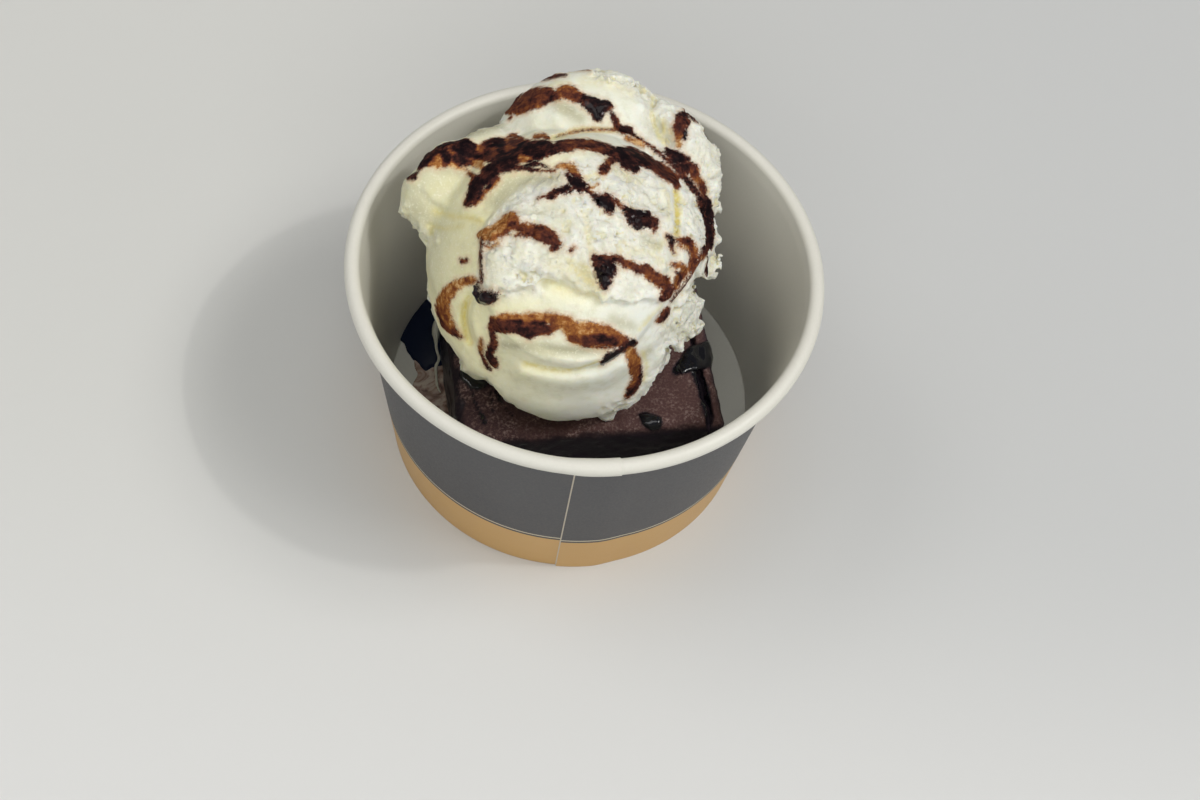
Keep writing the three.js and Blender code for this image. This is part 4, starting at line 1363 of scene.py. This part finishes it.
def cup_bearings():
    """Bearings of the wall's columns in degrees, close together where the paper steps."""
    plain = np.linspace(-70.0, 265.0, 240)
    seam = [-95.0, -93.0, -91.0, -89.0, -88.0, -87.4, -87.05, -86.95, -86.9, -86.65, -86.6, -86.3, -85.0]
    overlap = list(np.linspace(-83.5, -77.0, 6))
    overlap += [-76.2, -75.75, -75.6, -75.4, -75.25, -74.6, -73.5, -72.0]
    return np.concatenate([seam, overlap, plain[:-1]])


def outer_step(bearing):
    """Thickness of the second layer outside, in mm."""
    rise = smoothstep(*SEAM, bearing)
    fade = 1.0 - smoothstep(-76.0, -67.0, bearing)
    return PAPER * rise * np.where(bearing < 0.0, fade, 0.0)


def inner_step(bearing):
    """How far the inside lies back where the inner layer has ended, in mm."""
    rise = smoothstep(*OVERLAP_END, bearing)
    return PAPER * rise * np.where(bearing < 0.0, 1.0 - smoothstep(-74.0, -62.0, bearing), 0.0)


def wall_profile():
    """Section of the wall: height, side (1 outside, 0 inside), and a function of bearing for the radius."""
    rows = []
    for height in np.concatenate([[0.0, 0.25], np.linspace(1.0, 52.6, 36)]):
        rows.append((height, 1.0, lambda b, h=height: outside_radius(h) + outer_step(b)))
    for angle in np.radians(np.linspace(-140.0, 180.0, 26)):
        rows.append((angle, 0.5, None))
    for height in np.concatenate([np.linspace(53.6, 10.0, 26), [9.2, 8.8, 0.4]]):
        rows.append((height, 0.0, lambda b, h=height: outside_radius(h) - BOARD + inner_step(b)))
    inner = BOARD * 2 + 0.7
    rows.append((0.4, 0.0, lambda b: outside_radius(0.4) - inner + 0 * b))
    rows.append((HEM_HEIGHT, 0.0, lambda b: outside_radius(HEM_HEIGHT) - inner + 0 * b))
    rows.append((HEM_HEIGHT, 0.0, lambda b: outside_radius(HEM_HEIGHT) - inner - BOARD + 0 * b))
    rows.append((0.0, 0.0, lambda b: outside_radius(0.0) - inner - BOARD + 0 * b))
    return rows


def wall_grid():
    """Points of the wall by row and column, and the side of each."""
    bearings = cup_bearings()
    thick = smoothstep(-90.0, -84.0, bearings) * (1.0 - smoothstep(*OVERLAP_END, bearings))
    thick = np.where(bearings < 0.0, thick, 0.0)
    places, sides = [], []
    for value, side, radius_at in wall_profile():
        if radius_at is None:
            curl = ROLL_RADIUS - 0.2 + 0.18 * thick
            radius = ROLL_CENTRE[0] + curl * math.cos(value)
            height = ROLL_CENTRE[1] + curl * math.sin(value)
        else:
            radius = radius_at(bearings)
            height = np.full(len(bearings), value)
        shear = SEAM_LEAN * height / 46.7 * np.exp(-((bearings + 86.7) / 4.0) ** 2)
        angle = np.radians(bearings + shear)
        places.append(np.stack([radius * np.cos(angle), radius * np.sin(angle), height], -1))
        sides.append(np.full(len(bearings), side))
    return np.array(places), np.array(sides), bearings


def ring_faces(rows, columns):
    """Quads of a closed section turned all the way round."""
    i, j = np.meshgrid(np.arange(rows), np.arange(columns), indexing="ij")
    down, across = (i + 1) % rows, (j + 1) % columns
    above, below = i * columns, down * columns
    quads = np.stack([above + j, above + across, below + across, below + j], -1)
    return quads.reshape(-1, 4)


def cup_material():
    material, tree, shader = new_material("cup_paper", 0.5)
    height = attribute(tree, "print_height")
    printed = attribute(tree, "printed")
    cut = attribute(tree, "cut_edge")
    fibre = noise_texture(tree, 0.5, 4.0, 0.7)
    cloud = noise_texture(tree, 14.0, 3.0)
    grey = mix_color(tree, fibre, linear(62, 62, 64), linear(72, 72, 75))
    grey = mix_color(tree, remap(tree, cloud, 0.3, 0.7, 0.0, 0.35), grey, linear(58, 59, 63))
    tan = mix_color(tree, fibre, linear(196, 154, 92), linear(206, 166, 104))
    tan = mix_color(tree, remap(tree, cloud, 0.3, 0.7, 0.0, 0.3), tan, linear(188, 146, 86))
    line = linear(214, 204, 178)
    color = mix_color(tree, remap(tree, height, 14.0, 14.07), tan, linear(60, 56, 54))
    color = mix_color(tree, remap(tree, height, 14.82, 14.88), color, line)
    color = mix_color(tree, remap(tree, height, 15.2, 15.26), color, grey)
    white = mix_color(tree, fibre, linear(216, 214, 203), linear(225, 223, 213))
    color = mix_color(tree, remap(tree, printed, 0.74, 0.76), white, color)
    color = mix_color(tree, cut, color, linear(196, 186, 168))
    tree.links.new(color, shader.inputs["Base Color"])
    tree.links.new(remap(tree, fibre, 0.2, 0.8, 0.38, 0.52), shader.inputs["Roughness"])
    bump(tree, shader, fibre, 0.25, 0.08)
    return material


def build_wall():
    places, sides, bearings = wall_grid()
    rows, columns = sides.shape
    vertices = places.reshape(-1, 3)
    piece = make_mesh("cup_side", vertices, ring_faces(rows, columns), cup_material())
    shifted = smoothstep(*SEAM, bearings) * (1.0 - smoothstep(-60.0, 250.0, bearings))
    step = np.tile((bearings > SEAM[0] - 0.02) & (bearings < SEAM[1] + 0.03), (rows, 1)).ravel()
    set_values(piece, "print_height", vertices[:, 2] + PRINT_SHIFT * np.tile(shifted, (rows, 1)).ravel())
    set_values(piece, "printed", sides.ravel())
    set_values(piece, "cut_edge", step & (sides.ravel() > 0.9))
    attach(piece, "root")
    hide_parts("cup_wall")


def floor_material():
    material, tree, shader = new_material("cup_floor_paper", 0.38)
    fibre = noise_texture(tree, 0.6, 4.0, 0.7)
    color = mix_color(tree, fibre, linear(212, 211, 202), linear(221, 220, 211))
    tree.links.new(color, shader.inputs["Base Color"])
    bump(tree, shader, fibre, 0.25, 0.08)
    return material


def build_floor():
    """Paper disc with a small fillet where it meets the wall, and its edge folded down."""
    edge = outside_radius(FLOOR_TOP) - BOARD - 0.05
    section = [
        (0.0, 8.55), (20.0, 8.6), (edge - 3.0, 8.68), (edge - 1.2, 8.72), (edge - 0.4, 8.78), (edge, 8.8),
    ]
    skirt = outside_radius(1.4) - BOARD - 0.3
    section += [(skirt, 1.4), (skirt - 0.5, 1.4), (edge - 1.0, 8.2), (edge - 2.0, 8.2), (0.0, 8.1)]
    angles = np.linspace(0.0, 2.0 * math.pi, FLOOR_COLUMNS, endpoint=False)
    flat = np.stack([np.cos(angles), np.sin(angles), 0.0 * angles], -1)
    places = [flat * radius + (0.0, 0.0, height) for radius, height in section]
    faces = ring_faces(len(section), FLOOR_COLUMNS)[:-FLOOR_COLUMNS]
    piece = make_mesh("cup_bottom", np.array(places).reshape(-1, 3), faces[:, ::-1], floor_material())
    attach(piece, "root")
    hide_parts("cup_floor")


# Liquids on the cup's floor, with their outlines in mm, and how far from the axis they reach
LIQUID_REACH = 39.2
POOL_OUTLINE = [
    (-34.0, 19.5), (-37.6, 12.0), (-39.0, 7.4), (-37.2, 6.3), (-36.4, 4.2), (-34.9, 2.4), (-33.2, 1.4),
    (-31.6, -0.6), (-30.2, 0.5), (-27.0, 2.0), (-27.0, 16.0),
]
PUDDLE_OUTLINE = [
    (-34.6, 2.6), (-33.4, -1.2), (-33.8, -4.6), (-31.6, -8.4), (-28.4, -11.6), (-24.0, -11.0), (-26.0, 3.0),
    (-31.0, 3.0),
]


def liquid(name, node, outline, thickness, rim, material):
    """A thin layer with round edges, on the cup's floor."""
    low = np.array(outline).min(0) - 2.0
    high = np.array(outline).max(0) + 2.0
    step = 0.25
    grid = Grid((*low, FLOOR_TOP - 1.2), (*high, FLOOR_TOP + thickness + 1.0), step)
    points = grid.points()
    flat = outline_distance(points[..., 0], points[..., 1], outline) + 0.35 * noise(points, 2.2, 41)
    flat = np.maximum(flat, np.hypot(points[..., 0], points[..., 1]) - LIQUID_REACH)
    field = rounded_layer(flat, points[..., 2] - FLOOR_TOP - thickness, rim)
    grid.field = np.maximum(field, FLOOR_TOP - 0.15 - points[..., 2]).astype(np.float32)
    vertices, faces = surface_net(grid)
    piece = make_mesh(name, vertices, faces, material)
    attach(piece, "root")
    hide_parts(node)


def pool_material():
    material, tree, shader = new_material("chocolate_syrup", 0.08)
    swirl = noise_texture(tree, 6.0, 3.0)
    # dark chocolate, with a painted bluish reflection in its colour
    color = mix_color(tree, swirl, linear(20, 29, 50), linear(28, 37, 60))
    tree.links.new(color, shader.inputs["Base Color"])
    shader.inputs["Specular IOR Level"].default_value = 0.14
    bump(tree, shader, swirl, 0.1, 0.3)
    return material


def puddle_material():
    material, tree, shader = new_material("melted_cream", 0.2)
    swirl = noise_texture(tree, 3.5, 4.0, 0.6, 1.5)
    color = ramp(tree, swirl, [
        (0.3, linear(90, 66, 58)), (0.45, linear(168, 140, 126)), (0.62, linear(208, 192, 176)),
    ])
    tree.links.new(color, shader.inputs["Base Color"])
    bump(tree, shader, swirl, 0.1, 0.3)
    return material


RIBBON_LEVEL = 9.6
RIBBON = [  # pixels along the cream that has run down beside the brownie, and its radius in mm
    ((441, 320), 1.1), ((438, 326), 1.2), ((436, 333), 0.9), ((436, 341), 0.45), ((437, 351), 0.35),
    ((439, 359), 0.35), ((436, 366), 0.4), ((436, 375), 0.3), ((437, 385), 0.3), ((440, 392), 0.25),
]


def build_ribbon():
    """A thin strand of melted cream on the floor, beside the brownie."""
    places = np.array([[*at_level(pixel, RIBBON_LEVEL), radius] for pixel, radius in RIBBON])
    path = spread(places, 0.25)
    grid = Grid(path[:, :3].min(0) - 2.0, path[:, :3].max(0) + 2.0, 0.2)
    points = grid.points()
    distance = np.full(points.shape[:-1], 9.0)
    for x, y, z, radius in path:
        distance = np.minimum(distance, np.linalg.norm(points - (x, y, z), axis=-1) - radius)
    grid.field = np.maximum(distance + 0.1 * noise(points, 0.9, 51), FLOOR_TOP - 0.1 - points[..., 2])
    vertices, faces = surface_net(grid)
    material, _, shader = new_material("cream_strand", 0.25, linear(226, 224, 206))
    shader.inputs["Specular IOR Level"].default_value = 0.3
    piece = make_mesh("cream_strand", vertices, faces, material)
    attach(piece, "root")


# Stage and light
TABLE_HALF = 4000.0             # mm
LIGHTS_AIM = (0.0, 0.0, 0.03)
LIGHTS = [  # name, place in metres, size in metres, power in watts and colour
    ("key", KEY_PLACE, (1.4, 0.8), 30.5, (1.0, 0.985, 0.96)),
    ("spark", KEY_PLACE, (0.12, 0.06), 10.0, (1.0, 0.99, 0.97)),
    ("fill", (-0.95, 0.1, 1.5), (0.9, 0.6), 3.8, (1.0, 0.99, 0.97)),
    ("side", (-1.9, -0.6, 1.4), (1.6, 1.2), 3.0, (1.0, 1.0, 1.0)),
    ("right", (1.8, -1.0, 1.0), (1.0, 1.0), 1.8, (1.0, 1.0, 1.0)),
    ("panel", (0.1, -2.2, 1.5), (2.4, 1.4), 26.0, (1.0, 1.0, 0.99)),
    ("top", (-0.1, -0.2, 2.2), (1.2, 1.2), 8.5, (1.0, 1.0, 0.99)),
]


def add_floor():
    material, tree, shader = new_material("table_top", 0.55)
    x, y, _ = object_axes(tree)
    # painted light: the table lighter towards the front and left, darker towards the right
    to_right = remap(tree, x, -0.1, 0.12)
    to_front = remap(tree, y, 0.0, -0.12)
    across = mix_color(tree, to_right, linear(212, 212, 208), linear(201, 202, 201))
    tree.links.new(mix_color(tree, to_front, across, linear(221, 221, 219)), shader.inputs["Base Color"])
    signs = [(-1.0, -1.0, 0.0), (1.0, -1.0, 0.0), (1.0, 1.0, 0.0), (-1.0, 1.0, 0.0)]
    corners = TABLE_HALF * np.array(signs)
    floor = make_mesh("table_top", corners, np.array([[0, 1, 2, 3]]), material)


def add_light(name, place, size, power, color):
    data = bpy.data.lights.new(name, "AREA")
    data.shape = "RECTANGLE"
    data.size, data.size_y = size
    data.energy = power
    data.color = color
    lamp = bpy.data.objects.new(name, data)
    turn = (Vector(LIGHTS_AIM) - Vector(place)).to_track_quat("-Z", "Y").to_matrix().to_4x4()
    lamp.matrix_world = Matrix.Translation(Vector(place)) @ turn
    bpy.context.scene.collection.objects.link(lamp)


def add_lights():
    for light in LIGHTS:
        add_light(*light)
    world = bpy.data.worlds.new("studio")
    world.use_nodes = True
    background = world.node_tree.nodes["Background"]
    background.inputs["Color"].default_value = (0.97, 0.985, 1.0, 1.0)
    background.inputs["Strength"].default_value = 0.14
    bpy.context.scene.world = world
    bpy.context.scene.view_settings.view_transform = "Standard"


add_camera()
add_floor()
add_lights()
build_wall()
build_floor()
build_brownie()
build_scoop()
liquid("pool", "syrup_pool", POOL_OUTLINE, 0.7, 0.6, pool_material())
liquid("puddle", "melted_cream", PUDDLE_OUTLINE, 0.4, 0.35, puddle_material())
build_ribbon()
